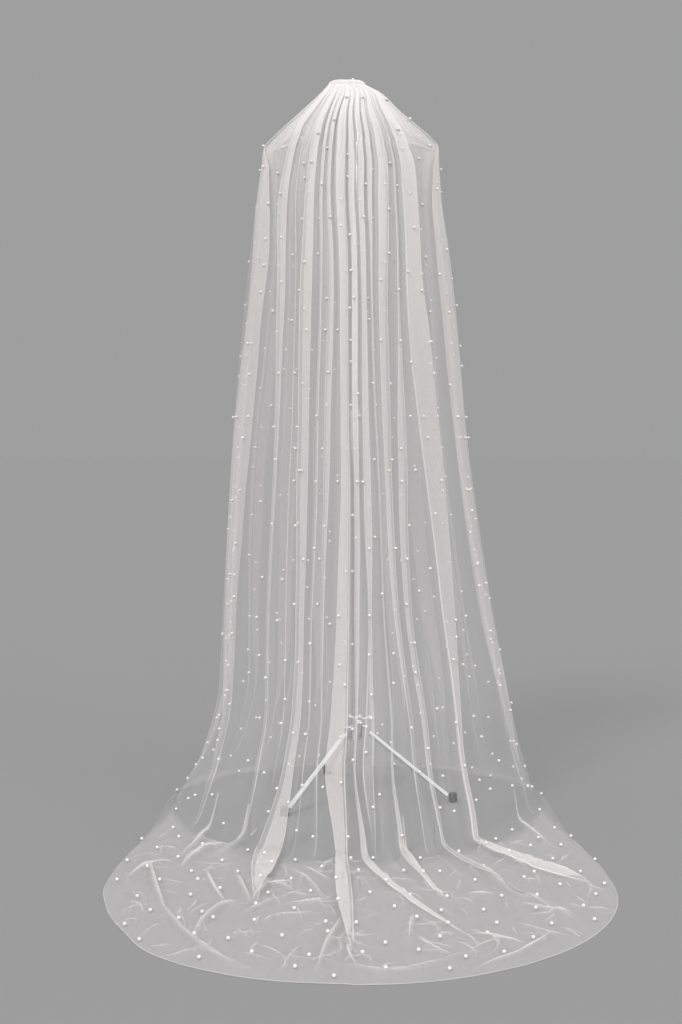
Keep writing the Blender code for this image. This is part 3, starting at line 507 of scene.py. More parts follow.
def hem_outline():
    """The hem on the floor, from the left free edge, round the front, to the right one."""
    turn = np.linspace(0.0, math.pi / 2.0, 60)
    across = np.concatenate([HEM_RADIUS * np.sin(turn), [point.across for point in HEM_SIDE]])
    forward = np.concatenate(
        [HEM_CENTRE + HEM_RADIUS * np.cos(turn), [point.forward for point in HEM_SIDE]]
    )
    turned = np.degrees(np.arctan2(across, forward - HEM_CENTRE))
    pull = smooth_curve(turned, *zip(*HEM_LEFT))[:, 0]
    left_forward = HEM_CENTRE + (forward - HEM_CENTRE) * np.where(forward > HEM_CENTRE, pull, 1.0)
    across = np.concatenate([-(across * pull)[:0:-1], across])
    forward = np.concatenate([left_forward[:0:-1], forward])
    return even_points(across, forward)


Rings = namedtuple("Rings", "height lean step across forward arc half out_across out_forward")


def make_rings():
    """All the rings, from the comb to where the cloth meets the floor, and on to the hem."""
    table = np.array([row[:7] for row in RING_ROWS])
    run = np.hypot(np.diff(table[:, 0]), np.diff(table[:, 3]))
    knots = np.concatenate([[0.0], np.cumsum(run)])
    places = []
    for index, row in enumerate(RING_ROWS[:-1]):
        places += list(np.linspace(knots[index], knots[index + 1], row.finer, endpoint=False))
    rows = smooth_curve(np.array(places + [knots[-1]]), knots, table)
    outlines = [hanging_outline(*row[1:6]) for row in rows]
    contact = outlines[-1]
    hem = hem_outline()
    share = np.linspace(-1.0, 1.0, len(hem[0]))
    hem_share = np.sign(share) * np.interp(np.abs(share), *zip(*HEM_SHARES))
    hem = [np.interp(hem_share, share, line) for line in hem]
    steps = list(np.linspace(0.0, HEM_STEPS[0], TRAIN_ROWS)[1:-1]) + list(HEM_STEPS)
    for step in steps:
        outlines.append([a + (b - a) * step for a, b in zip(contact, hem)])
    across = np.array([outline[0] for outline in outlines])
    forward = np.array([outline[1] for outline in outlines])
    arc = np.zeros_like(across)
    arc[:, 1:] = np.cumsum(np.hypot(np.diff(across), np.diff(forward)), axis=1)
    half = arc[:, -1] / 2.0
    run_across, run_forward = np.gradient(across, axis=1), np.gradient(forward, axis=1)
    size = np.hypot(run_across, run_forward)
    lying = len(steps)
    return Rings(
        np.concatenate([rows[:, 0], np.full(lying, LYING)]),
        np.radians(np.concatenate([rows[:, 6], np.full(lying, 90.0)])),
        np.concatenate([np.zeros(len(rows)), steps]),
        across,
        forward,
        arc - half[:, None],
        half,
        -run_forward / size,
        run_across / size,
    )


# Folds


def fold_tables(rings):
    """Share, width, depth and lap of every fold on every ring."""
    hanging = rings.step <= 0.0
    heights = rings.height[hanging]
    out = np.array([fold.stand_out for fold in FOLDS])
    lap_size = np.abs([fold.lap for fold in FOLDS])
    reach = np.array([fold.reach for fold in FOLDS])
    short = reach < SHORT_REACH
    share = by_height(heights, FOLD_HEIGHTS, np.array([fold.shares for fold in FOLDS]).T)
    widths = [(WIDTH_AT_COMB, *fold.widths) for fold in FOLDS]
    width = by_height(heights, FOLD_HEIGHTS, np.array(widths).T)
    depths = [np.full(len(FOLDS), DEPTH_AT_COMB), out * SHOULDER_DEPTH, out, out * LEAF_DEPTH]
    depth = by_height(heights, DEPTH_HEIGHTS, depths)
    lap = lap_size * eased(-heights, -1.82, -1.68)[:, None]
    low = 1.0 - eased(-heights, -0.45, -0.06)[:, None]
    shallow = 1.0 - (1.0 - SHORT_DEPTH) * eased(-heights, -0.40, 0.0)[:, None]
    lap = np.where(short, lap * low, lap)
    depth = np.where(short, depth * shallow, depth)
    for index in range(len(FOLDS)):
        free = eased(-heights, -1.75, -1.40)
        stray = STRAY * free * wander(heights, 40 + index, longest=0.9)
        share[:, index] += stray * eased(heights, 0.0, 0.3)
        width[:, index] *= 1.0 + WIDTH_STRAY * free * wander(heights, 90 + index, longest=0.7)
    steps = rings.step[~hanging][:, None]
    along = np.clip(steps / reach, 0.0, 1.0)
    start = np.array([fold.shares[-1] for fold in FOLDS])
    drift = np.array([fold.tip for fold in FOLDS]) - start
    gone = steps / np.where(short, 1.0, reach)
    train_share = start + drift * gone**2 * (1.0 + KNEE) / (gone + KNEE)
    train_width = np.stack(
        [
            smooth_curve(
                along[:, index], (0.0, LEAF_WIDEST, 1.0), (fold.widths[-1], fold.leaf, END_WIDTH)
            )[:, 0]
            for index, fold in enumerate(FOLDS)
        ],
        axis=1,
    )
    train_depth = out * LEAF_DEPTH * (1.0 - along**3) * np.where(short, SHORT_DEPTH, 1.0)
    train_lap = np.where(short, 0.0, lap_size * (1.0 - eased(along, 0.72, 1.0)))
    return [
        np.concatenate(pair)
        for pair in (
            (share, train_share),
            (width, train_width),
            (depth, train_depth),
            (lap, train_lap),
        )
    ]


def fold_corners(middle, half, foot, depth, lap, side):
    """The five corners of one fold on all the rings: arc, standing out, edge, and body of the fold."""
    hidden = half * (1.0 - 2.0 * TURNED_UNDER)
    turned = half + foot / 2.0 + (hidden - half - foot / 2.0) * lap
    arcs = [-half - foot, -half, half, turned, half + foot]
    none = 0.0 * depth
    firm = np.clip(depth / 0.006, 0.0, 1.0)
    wide = np.clip(half / 0.006, 0.35, 1.0)
    first = np.clip((half - 0.002) / 0.006, 0.15, 1.0)
    outs = [none, depth, depth, depth * 0.45, none]
    edges = [none, firm * first, (1.0 + 0.4 * lap) * firm, 0.9 * lap * firm, none]
    bodies = [none, firm * wide, firm * wide, firm * lap * wide, none]
    if side < 0.0:
        arcs = [-arc for arc in arcs[::-1]]
        outs, edges, bodies = outs[::-1], edges[::-1], bodies[::-1]
    return [(middle + arc, out, edge, body) for arc, out, edge, body in zip(arcs, outs, edges, bodies)]


def lay_corners(rings):
    """Every corner of the cloth's line on every ring, and how the line is drawn between them."""
    share, width, depth, lap = fold_tables(rings)
    places = np.linspace(-1.0, 1.0, rings.arc.shape[1])
    middles = np.array([np.interp(row, places, arc) for row, arc in zip(share, rings.arc)])
    claim = width / 2.0 + FOLD_CLAIM
    between = claim[:, :-1] / (claim[:, :-1] + claim[:, 1:])
    inner = middles[:, :-1] + (middles[:, 1:] - middles[:, :-1]) * between
    bounds = np.column_stack([-rings.half, inner, rings.half])
    lying = eased(np.degrees(rings.lean), 8.0, 25.0) + eased(-rings.half, -0.25, -0.18)
    none = 0.0 * rings.half
    corners = [(bounds[:, 0], none, none, none)]
    eases, fills, hidden = [0.0], [TROUGH_FILL], [False]
    for index, fold in enumerate(FOLDS):
        middle = middles[:, index]
        room = FOLD_ROOM * np.minimum(middle - bounds[:, index], bounds[:, index + 1] - middle)
        foot = np.minimum(FOLD_FOOT, FOOT_ROOM * room)
        half = np.minimum(width[:, index] / 2.0, room - foot)
        side = -1.0 if fold.lap < 0.0 else 1.0
        corners += fold_corners(middle, half, foot, depth[:, index], lap[:, index], side)
        order = 1 if side > 0.0 else -1
        eases += [FOOT_EASE, EDGE_EASE, EDGE_EASE, EDGE_EASE, FOOT_EASE][::order]
        fills += [*list(FOLD_FILLS)[::order], TROUGH_FILL]
        hidden += [False, False, False, True, True] if side > 0.0 else [True, True, False, False, False]
        if index < len(FOLDS) - 1:
            valley = np.minimum(VALLEY * (middles[:, index + 1] - middle), DEEPEST_VALLEY)
            valley *= 1.0 - np.clip(lying, 0.0, 1.0)
            corners.append((bounds[:, index + 1], -valley, none, none))
            eases.append(TROUGH_EASE)
            fills.append(TROUGH_FILL)
            hidden.append(False)
    corners.append((bounds[:, -1], none, none, none))
    eases.append(0.0)
    hidden.append(False)
    return np.stack([np.stack(corner, axis=-1) for corner in corners], axis=1), eases, fills, hidden


Line = namedtuple("Line", "values hidden corner")


def round_line(corners, eases, fills, hidden):
    """Rounds each corner off and fills the runs between them, with the same columns on every ring."""
    columns, under, at_corner = [corners[:, 0]], [False], [0]
    leave = corners[:, 0]
    for index in range(1, corners.shape[1]):
        here = corners[:, index]
        back = corners[:, index - 1] - here
        back_size = np.maximum(np.linalg.norm(back[:, :2], axis=1), 1e-9)[:, None]
        last = index == corners.shape[1] - 1
        reach = 0.0 * back_size if last else np.minimum(eases[index], 0.45 * back_size)
        arrive = here + back / back_size * reach
        covered = hidden[index] and hidden[index - 1]
        for step in range(1, fills[index - 1] + 1):
            columns.append(leave + (arrive - leave) * step / (fills[index - 1] + 1.0))
            under.append(covered)
            at_corner.append(-1)
        if last:
            columns.append(here)
            under.append(False)
            at_corner.append(index)
            break
        ahead = corners[:, index + 1] - here
        ahead_size = np.maximum(np.linalg.norm(ahead[:, :2], axis=1), 1e-9)[:, None]
        leave = here + ahead / ahead_size * np.minimum(eases[index], 0.45 * ahead_size)
        for turn in ROUNDING:
            point = (1.0 - turn) ** 2 * arrive + 2.0 * turn * (1.0 - turn) * here + turn**2 * leave
            point[:, 2] = here[:, 2] * (0.0 < turn < 1.0)
            columns.append(point)
            under.append(hidden[index])
            at_corner.append(index)
    values = np.stack(columns, axis=1)
    for index in range(values.shape[1]):
        if at_corner[index] < 0:
            values[:, index, 2] = 0.0
    return Line(values, np.array(under), np.array(at_corner))


def add_pleats(line, rings):
    """Fine pleats in the troughs between the folds, each over its own part of the fall."""
    rng = np.random.default_rng(23)
    arc, out, edge, _ = (line.values[:, :, index] for index in range(4))
    rows = np.linspace(0.0, 1.0, int((rings.step <= 0.0).sum()))
    rows = np.concatenate([rows, 1.0 + rings.step[rings.step > 0.0]])
    for trough in range(len(FOLDS) - 1):
        corner = 1 + trough * CORNERS_A_FOLD + 4
        first = int(np.argmax(line.corner == corner))
        last = int(np.argmax(line.corner == corner + 2)) + 1
        room = arc[:, last] - arc[:, first]
        for _ in range(rng.integers(1, 4)):
            centre = rng.uniform(0.16, 0.84)
            start = rng.choice([-0.2, -0.2, 0.1, 0.35, 0.55])
            end = start + rng.uniform(0.5, 1.1)
            shown = eased(rows, start, start + 0.18) * (1.0 - eased(rows, end - 0.2, end))
            height = rng.uniform(0.0015, 0.005) * shown * np.clip(room / 0.03, 0.15, 1.0)
            width = np.minimum(rng.uniform(0.0028, 0.0050), room * 0.2)
            strength = rng.uniform(0.02, 0.16)
            drift = 0.06 * wander(rows, int(rng.integers(1000)), longest=0.9)
            away = arc[:, first : last + 1] - (arc[:, first] + room * (centre + drift))[:, None]
            away /= width[:, None]
            ridge = np.exp(-(away**2))
            out[:, first : last + 1] += height[:, None] * ridge
            edge[:, first : last + 1] += (strength * shown)[:, None] * np.exp(-((away * 1.3) ** 2))


# Creases of the train


def crease_field(across, forward, creases, rounding=1.5):
    """Height of the creases at each place, and how near each place is to a crest."""
    height, crest = np.zeros_like(across), np.zeros_like(across)
    for crease in creases:
        places = np.array(crease.places)
        low, high = places.min(axis=0) - 3.0 * crease.width, places.max(axis=0) + 3.0 * crease.width
        near = (across > low[0]) & (across < high[0]) & (forward > low[1]) & (forward < high[1])
        if not near.any():
            continue
        spots = np.stack([across[near], forward[near]], axis=-1)
        runs = np.linalg.norm(np.diff(places, axis=0), axis=1)
        passed = np.concatenate([[0.0], np.cumsum(runs)])
        best = np.full(len(spots), 1e9)
        along = np.zeros(len(spots))
        for index, run in enumerate(runs):
            way = (places[index + 1] - places[index]) / run
            reach = np.clip((spots - places[index]) @ way, 0.0, run)
            gap = np.linalg.norm(spots - places[index] - reach[:, None] * way, axis=1)
            closer = gap < best
            best[closer] = gap[closer]
            along[closer] = (passed[index] + reach[closer]) / passed[-1]
        fade = np.sin(math.pi * np.clip(along, 0.02, 0.98)) ** 0.6
        height[near] = np.maximum(
            height[near], crease.height * fade * np.exp(-((best / crease.width) ** rounding))
        )
        crest[near] = np.maximum(crest[near], fade * np.exp(-((best / (0.38 * crease.width)) ** 2)))
    return height, crest


def make_crumples():
    """Small soft creases all over the train."""
    rng = np.random.default_rng(5)
    crumples = []
    while len(crumples) < CRUMPLES:
        across, forward = rng.uniform(-0.50, 0.50), rng.uniform(0.15, 1.22)
        inside = across**2 / 0.23 + forward**2 / 0.33 < 1.0
        beyond = forward > HEM_CENTRE and math.hypot(across, forward - HEM_CENTRE) > HEM_RADIUS - 0.05
        if inside or beyond or (abs(across) > 0.40 and forward < 0.34):
            continue
        turn = rng.uniform(0.0, math.pi)
        bend = rng.uniform(-0.9, 0.9)
        size = rng.uniform(0.025, 0.075)
        places = [(across, forward)]
        for step in range(3):
            across += size * 0.5 * math.cos(turn + bend * step * 0.5)
            forward += size * 0.5 * math.sin(turn + bend * step * 0.5)
            places.append((across, forward))
        crumples.append(Crease(rng.uniform(0.003, 0.008), rng.uniform(0.005, 0.009), tuple(places)))
    return crumples


# The cloth's grid


def billow(share, height, seed, size):
    """Slow uneven swells of the cloth."""
    rng = np.random.default_rng(seed)
    total = np.zeros(np.broadcast(share, height).shape)
    for _ in range(7):
        total = total + rng.uniform(0.3, 1.0) * np.sin(
            2.0 * math.pi * (rng.uniform(2.0, 11.0) * share + rng.uniform(-1.6, 1.6) * height)
            + rng.uniform(0.0, 6.28)
        )
    return size * total / 3.0


def grid_normals(points):
    """The cloth's own direction at each point of a grid."""
    down = np.gradient(points, axis=0)
    side = np.gradient(points, axis=1)
    normals = np.cross(down, side)
    size = np.maximum(np.linalg.norm(normals, axis=2), 1e-12)
    return normals / size[:, :, None]


Laid = namedtuple("Laid", "across forward height share lying creased crest faint")


def lay_cloth(rings, line):
    """The places of the cloth: its folds and swells, out from the rings, and the train's creases."""
    arc, out = line.values[:, :, 0], line.values[:, :, 1]
    share = arc / rings.half[:, None]
    free = eased(-rings.height, -1.70, -1.30) * (1.0 - eased(np.degrees(rings.lean), 4.0, 40.0))
    out += free[:, None] * billow(share, rings.height[:, None], 3, FALL_SWELL)
    lying = eased(np.degrees(rings.lean), 60.0, 90.0)[:, None]
    swell = np.abs(billow(share * 1.5, rings.step[:, None], 8, TRAIN_SWELL))
    settled = 1.0 - 0.75 * eased(rings.step, 0.90, 1.0)[:, None]
    out += lying * swell * settled * eased(rings.step, 0.0, 0.1)[:, None]
    place = [
        np.array([np.interp(a, b, c) for a, b, c in zip(arc, rings.arc, values)])
        for values in (rings.across, rings.forward, rings.out_across, rings.out_forward)
    ]
    level = np.cos(rings.lean)[:, None] * out
    across = place[0] + place[2] * level
    forward = place[1] + place[3] * level
    height = rings.height[:, None] + np.sin(rings.lean)[:, None] * out
    wider = [crease._replace(width=crease.width * RIDGE_SPREAD) for crease in CREASES]
    ridge, crest = crease_field(across, forward, wider)
    crumple, faint = crease_field(across, forward, make_crumples(), rounding=2.0)
    low = eased(-height, -0.10, -0.02) * eased(rings.lean, 0.4, 1.4)[:, None]
    creased = low * (1.0 - 0.9 * eased(rings.step, 0.93, 0.995)[:, None])
    height = np.maximum(height + creased * np.maximum(ridge, crumple), LYING)
    return Laid(across, forward, height, share, lying, creased, crest, faint)


def count_layers_and_cap_light(rings, laid, edge, body, gathered):
    """How many layers of net lie over one another at each place, with painted light from above added as
    more layers over the cap.
    """
    round_veil = np.abs(laid.share)
    far_side = 1.0 - 0.6 * eased(round_veil, *FAR_SIDE)
    shoulder = 1.0 - 0.75 * eased(round_veil, 0.43, 0.48) * eased(rings.height, 1.65, 1.72)[:, None]
    edge = edge * far_side * shoulder * (1.0 - 0.6 * eased(rings.height, 1.78, 1.88))[:, None]
    fine = by_height(rings.height, *zip(*FINE_GATHERS))
    plies = gathered[:, None] * (fine + BODY_PLIES * body * far_side + EDGE_PLIES * edge)
    # Above its arched edge the cap is painted brighter: partly its gathered, doubled cloth, partly painted
    # light as if from above.
    cap_edge = CAP_EDGE + CAP_RISE * (1.0 - (laid.across / CAP_REACH) ** 2)
    blur = 0.004 + 0.05 * (1.0 - eased(np.abs(laid.across), 0.10, 0.17))
    plies += CAP_PLIES_AND_PAINTED_LIGHT * eased(laid.height, cap_edge - blur, cap_edge + blur) * (1.0 - 0.5 * body)
    heights = [row.height for row in MIDDLE_ROWS]
    layers, reach = by_height(rings.height, heights, [row[1:] for row in MIDDLE_ROWS]).T
    middle = np.exp(-(((laid.across - MIDDLE_PLACE) / reach[:, None]) ** 2)) * (laid.forward > 0.0)
    plies += layers[:, None] * middle * (1.0 - 0.6 * body)
    plies += laid.creased * (CREASE_PLIES * laid.crest + CRUMPLE_PLIES * laid.faint)
    plies += laid.lying * eased(rings.step, 0.0, 0.14)[:, None] * TRAIN_PLIES
    plies *= 1.0 - 0.7 * laid.lying * eased(round_veil, *FAR_TRAIN)
    plies[-2:] += HEM_PLIES * (1.0 - 0.85 * eased(round_veil[-2:], 0.42, 0.52))
    plies[:, 0] += HEM_PLIES
    plies[:, -1] += HEM_PLIES
    return plies


def make_cloth():
    """The whole veil as one grid, from the comb to the hem."""
    rings = make_rings()
    line = round_line(*lay_corners(rings))
    add_pleats(line, rings)
    laid = lay_cloth(rings, line)
    points = np.stack([laid.across, POLE_Y - laid.forward, laid.height], axis=-1)
    line_step = np.linalg.norm(np.diff(points, axis=1), axis=2)
    length = line_step.sum(axis=1)
    gathered = np.maximum(bpy.context.scene.veil_tulle.width / length, 1.0)
    along = np.column_stack([np.zeros(len(length)), np.cumsum(line_step, axis=1)])
    along = (along - length[:, None] / 2.0) * gathered[:, None]
    fall = np.zeros(along.shape)
    fall[1:] = np.cumsum(np.linalg.norm(np.diff(points, axis=0), axis=2), axis=0)
    cut = np.stack([along, fall, 0.0 * fall], axis=-1)
    plies = count_layers_and_cap_light(rings, laid, line.values[:, :, 2], line.values[:, :, 3], gathered)
    starts = [0]
    for stretch in STRETCHES[:-1]:
        starts.append(int(np.argmax(line.corner == 1 + stretch.last * CORNERS_A_FOLD + 5)))
    ends = starts + [points.shape[1] - 1]
    return Cloth(points, grid_normals(points), cut, plies, ~line.hidden, ends, gathered)


def softened(places, rounds=3):
    """A line with its corners cut off, again and again."""
    places = np.array(places, float)
    for _ in range(rounds):
        near = places[:-1] * 0.75 + places[1:] * 0.25
        far = places[:-1] * 0.25 + places[1:] * 0.75
        middle = np.stack([near, far], axis=1).reshape(-1, places.shape[1])
        places = np.concatenate([places[:1], middle, places[-1:]])
    return places


def make_ribbons(cloth, rings):
    """The doubled cloth along each crease, for each stretch: thin leaves that lie on the train."""
    hanging = int((rings.step <= 0.0).sum())
    part = cloth.points[hanging - 12 :]
    tree = BVHTree.FromPolygons(part.reshape(-1, 3).tolist(), grid_faces(*part.shape[:2]).tolist())
    down = Vector((0.0, 0.0, -1.0))
    wide = len(RIBBON_PROFILE)
    leaves = [(crease, 1.0, RIBBON_WIDTH) for crease in CREASES]
    leaves += [(crease, CRUMPLE_SHARE, CRUMPLE_RIBBON_WIDTH) for crease in make_crumples()]
    made = [([], [], [], []) for _ in STRETCHES]
    for order, (crease, strength, spread) in enumerate(leaves):
        line = softened(crease.places)
        passed = np.concatenate([[0.0], np.cumsum(np.linalg.norm(np.diff(line, axis=0), axis=1))])
        count = max(int(passed[-1] / RIBBON_STEP), 6)
        spots = np.linspace(0.0, passed[-1], count)
        line = np.stack([np.interp(spots, passed, line[:, axis]) for axis in range(2)], axis=1)
        centre = line[count // 2]
        hit = tree.ray_cast(Vector((centre[0], POLE_Y - centre[1], ABOVE_TRAIN)), down)
        if not hit[0]:
            continue
        column = hit[2] % (part.shape[1] - 1)
        stretch = int(np.searchsorted(cloth.ends, column, side="right")) - 1
        points, faces, normals, plies = made[stretch]
        way = np.gradient(line, axis=0)
        way /= np.maximum(np.linalg.norm(way, axis=1), 1e-9)[:, None]
        side = np.stack([-way[:, 1], way[:, 0]], axis=1) * (1.0 if order % 2 else -1.0)
        taper = np.sin(math.pi * np.linspace(0.02, 0.98, count)) ** 0.7
        half = crease.width * spread * taper
        base = len(points)
        for index in range(count):
            for across, cover in RIBBON_PROFILE:
                spot = line[index] + side[index] * across * half[index]
                hit = tree.ray_cast(Vector((spot[0], POLE_Y - spot[1], ABOVE_TRAIN)), down)
                height = hit[0].z if hit[0] else LYING
                points.append((spot[0], POLE_Y - spot[1], height + 0.0006 + 0.0008 * (1.0 - across**2)))
                lean = side[index] * across * 0.35
                normals.append((lean[0], -lean[1], 1.0))
                plies.append(cover * RIBBON_PLIES * strength * taper[index])
        for index in range(count - 1):
            for step in range(wide - 1):
                corner = base + index * wide + step
                face = (corner, corner + wide, corner + wide + 1, corner + 1)
                faces.append(face if order % 2 == 0 else face[::-1])
    extras = []
    for points, faces, normals, plies in made:
        if not points:
            extras.append(None)
            continue
        points, normals = np.array(points), np.array(normals)
        normals /= np.linalg.norm(normals, axis=1)[:, None]
        cut = np.stack([points[:, 0], points[:, 1], 0.0 * points[:, 0]], axis=1)
        extras.append(Extra(points, faces, normals, cut, np.array(plies)))
    return extras


def grid_faces(rows, columns):
    """The four-sided faces of a grid."""
    index = np.arange(rows * columns).reshape(rows, columns)
    a, b = index[:-1, :-1], index[1:, :-1]
    c, d = index[1:, 1:], index[:-1, 1:]
    return np.stack([a, b, c, d], axis=-1).reshape(-1, 4)


def add_grid(name, points, normals, cut, plies, material, extra=None):
    """A mesh from a grid of points, with its normals and its named values."""
    rows, columns = points.shape[:2]
    points, normals, cut = (values.reshape(-1, 3) for values in (points, normals, cut))
    plies = plies.reshape(-1)
    faces = grid_faces(rows, columns).tolist()
    if extra:
        faces += [tuple(index + len(points) for index in face) for face in extra.faces]
        own = (points, normals, cut, plies)
        added = (extra.points, extra.normals, extra.cut, extra.plies)
        points, normals, cut, plies = (np.concatenate(pair) for pair in zip(own, added))
    mesh = bpy.data.meshes.new(name)
    mesh.from_pydata(points.tolist(), [], faces)
    mesh.polygons.foreach_set("use_smooth", np.ones(len(mesh.polygons), bool))
    mesh.normals_split_custom_set_from_vertices(normals.tolist())
    named = (("cut", "FLOAT_VECTOR", "vector", cut), ("plies", "FLOAT", "value", plies))
    for label, kind, field, values in named:
        attribute = mesh.attributes.new(label, kind, "POINT")
        attribute.data.foreach_set(field, np.ascontiguousarray(values, np.float32).ravel())
    mesh.materials.append(material)
    item = bpy.data.objects.new(name, mesh)
    bpy.context.scene.collection.objects.link(item)
    return item


# Materials


def add_node(tree, kind, **values):
    """A shader node with its settings."""
    node = tree.nodes.new(kind)
    for name, value in values.items():
        setattr(node, name, value)
    return node


def feed(tree, socket, value):
    """Sets a socket to a number, or joins it to another socket."""
    if isinstance(value, bpy.types.NodeSocket):
        tree.links.new(value, socket)
    else:
        socket.default_value = value


def math_node(tree, operation, first, second=0.0, clamp=False):
    """The result of one sum."""
    node = add_node(tree, "ShaderNodeMath", operation=operation, use_clamp=clamp)
    feed(tree, node.inputs[0], first)
    feed(tree, node.inputs[1], second)
    return node.outputs[0]


def range_node(tree, value, low, high, new_low, new_high, kind="SMOOTHSTEP"):
    """A value carried over from one range to another."""
    node = add_node(tree, "ShaderNodeMapRange", interpolation_type=kind)
    for socket, number in zip(node.inputs, (value, low, high, new_low, new_high)):
        feed(tree, socket, number)
    return node.outputs[0]


def new_group(name, inputs, outputs):
    """A node group with its named inputs and outputs, and its two end nodes."""
    tree = bpy.data.node_groups.new(name, "ShaderNodeTree")
    for label, kind, value in inputs:
        socket = tree.interface.new_socket(label, in_out="INPUT", socket_type=kind)
        if value is not None:
            socket.default_value = value
    for label, kind in outputs:
        tree.interface.new_socket(label, in_out="OUTPUT", socket_type=kind)
    return tree, tree.nodes.new("NodeGroupInput"), tree.nodes.new("NodeGroupOutput")


def net_group():
    """A net of six-sided holes: 1 on the threads, 0 in the holes."""
    found = bpy.data.node_groups.get("tulle_net")
    if found:
        return found
    tree, source, target = new_group(
        "tulle_net",
        [("Cut", "NodeSocketVector", None), ("Cell", "NodeSocketFloat", 0.0022)],
        [("Thread", "NodeSocketFloat")],
    )
    pitch = math_node(tree, "DIVIDE", 4.0 * math.pi / math.sqrt(3.0), source.outputs["Cell"])
    scaled = add_node(tree, "ShaderNodeVectorMath", operation="SCALE")
    feed(tree, scaled.inputs[0], source.outputs["Cut"])
    feed(tree, scaled.inputs["Scale"], pitch)
    waves = []
    for turn in (0.0, 60.0, 120.0):
        angle = math.radians(turn)
        dot = add_node(tree, "ShaderNodeVectorMath", operation="DOT_PRODUCT")
        feed(tree, dot.inputs[0], scaled.outputs["Vector"])
        dot.inputs[1].default_value = (math.cos(angle), math.sin(angle), 0.0)
        waves.append(math_node(tree, "COSINE", dot.outputs["Value"]))
    total = math_node(tree, "ADD", math_node(tree, "ADD", waves[0], waves[1]), waves[2])
    thread = range_node(tree, math_node(tree, "MULTIPLY", total, -1.0), -0.3, 1.0, 0.0, 1.0)
    tree.links.new(thread, target.inputs["Thread"])
    return tree


def streak_group():
    """Fine lengthwise streaks, where the net is pulled a little closer."""
    found = bpy.data.node_groups.get("lengthwise_streaks")
    if found:
        return found
    tree, source, target = new_group(
        "lengthwise_streaks",
        [("Cut", "NodeSocketVector", None), ("Depth", "NodeSocketFloat", 0.25)],
        [("Streaks", "NodeSocketFloat")],
    )
    stretched = add_node(tree, "ShaderNodeVectorMath", operation="MULTIPLY")
    feed(tree, stretched.inputs[0], source.outputs["Cut"])
    stretched.inputs[1].default_value = (130.0, 4.0, 1.0)
    noise = add_node(tree, "ShaderNodeTexNoise")
    feed(tree, noise.inputs["Vector"], stretched.outputs["Vector"])
    noise.inputs["Scale"].default_value = 1.0
    noise.inputs["Detail"].default_value = 2.0
    spread = range_node(tree, noise.outputs["Fac"], 0.3, 0.7, -1.0, 1.0)
    streaks = math_node(tree, "ADD", math_node(tree, "MULTIPLY", spread, source.outputs["Depth"]), 1.0)
    tree.links.new(streaks, target.inputs["Streaks"])
    return tree


def wear_group():
    """Fine handling marks: an uneven value between two levels, and faint scratches as a height."""
    found = bpy.data.node_groups.get("handling_marks")
    if found:
        return found
    tree, source, target = new_group(
        "handling_marks",
        [
            ("Scale", "NodeSocketFloat", 40.0),
            ("Low", "NodeSocketFloat", 0.1),
            ("High", "NodeSocketFloat", 0.3),
        ],
        [("Roughness", "NodeSocketFloat"), ("Height", "NodeSocketFloat"), ("Mottle", "NodeSocketFloat")],
    )
    place = add_node(tree, "ShaderNodeTexCoord").outputs["Object"]
    noise = add_node(tree, "ShaderNodeTexNoise")
    feed(tree, noise.inputs["Vector"], place)
    feed(tree, noise.inputs["Scale"], source.outputs["Scale"])
    noise.inputs["Detail"].default_value = 4.0
    fine = add_node(tree, "ShaderNodeTexNoise")
    stretched = add_node(tree, "ShaderNodeVectorMath", operation="MULTIPLY")
    feed(tree, stretched.inputs[0], place)
    stretched.inputs[1].default_value = (1.0, 1.0, 0.12)
    feed(tree, fine.inputs["Vector"], stretched.outputs["Vector"])
    feed(tree, fine.inputs["Scale"], math_node(tree, "MULTIPLY", source.outputs["Scale"], 9.0))
    mark = range_node(tree, noise.outputs["Fac"], 0.35, 0.7, source.outputs["Low"], source.outputs["High"])
    tree.links.new(mark, target.inputs["Roughness"])
    tree.links.new(fine.outputs["Fac"], target.inputs["Height"])
    tree.links.new(noise.outputs["Fac"], target.inputs["Mottle"])
    return tree


def new_material(name):
    """A new material, its node tree and its shader."""
    material = bpy.data.materials.new(name)
    material.use_nodes = True
    tree = material.node_tree
    return material, tree, tree.nodes["Principled BSDF"]


def place_group(tree, group, **values):
    """A node group placed in a material, with its values."""
    node = add_node(tree, "ShaderNodeGroup", node_tree=group)
    for name, value in values.items():
        feed(tree, node.inputs[name.replace("_", " ")], value)
    return node


def mix_colours(tree, share, first, second):
    """The blend of two colours."""
    node = add_node(tree, "ShaderNodeMix", data_type="RGBA")
    feed(tree, node.inputs["Factor"], share)
    colours = [socket for socket in node.inputs if socket.type == "RGBA"]
    for socket, colour in zip(colours, (first, second)):
        socket.default_value = (*colour, 1.0)
    return next(socket for socket in node.outputs if socket.type == "RGBA")


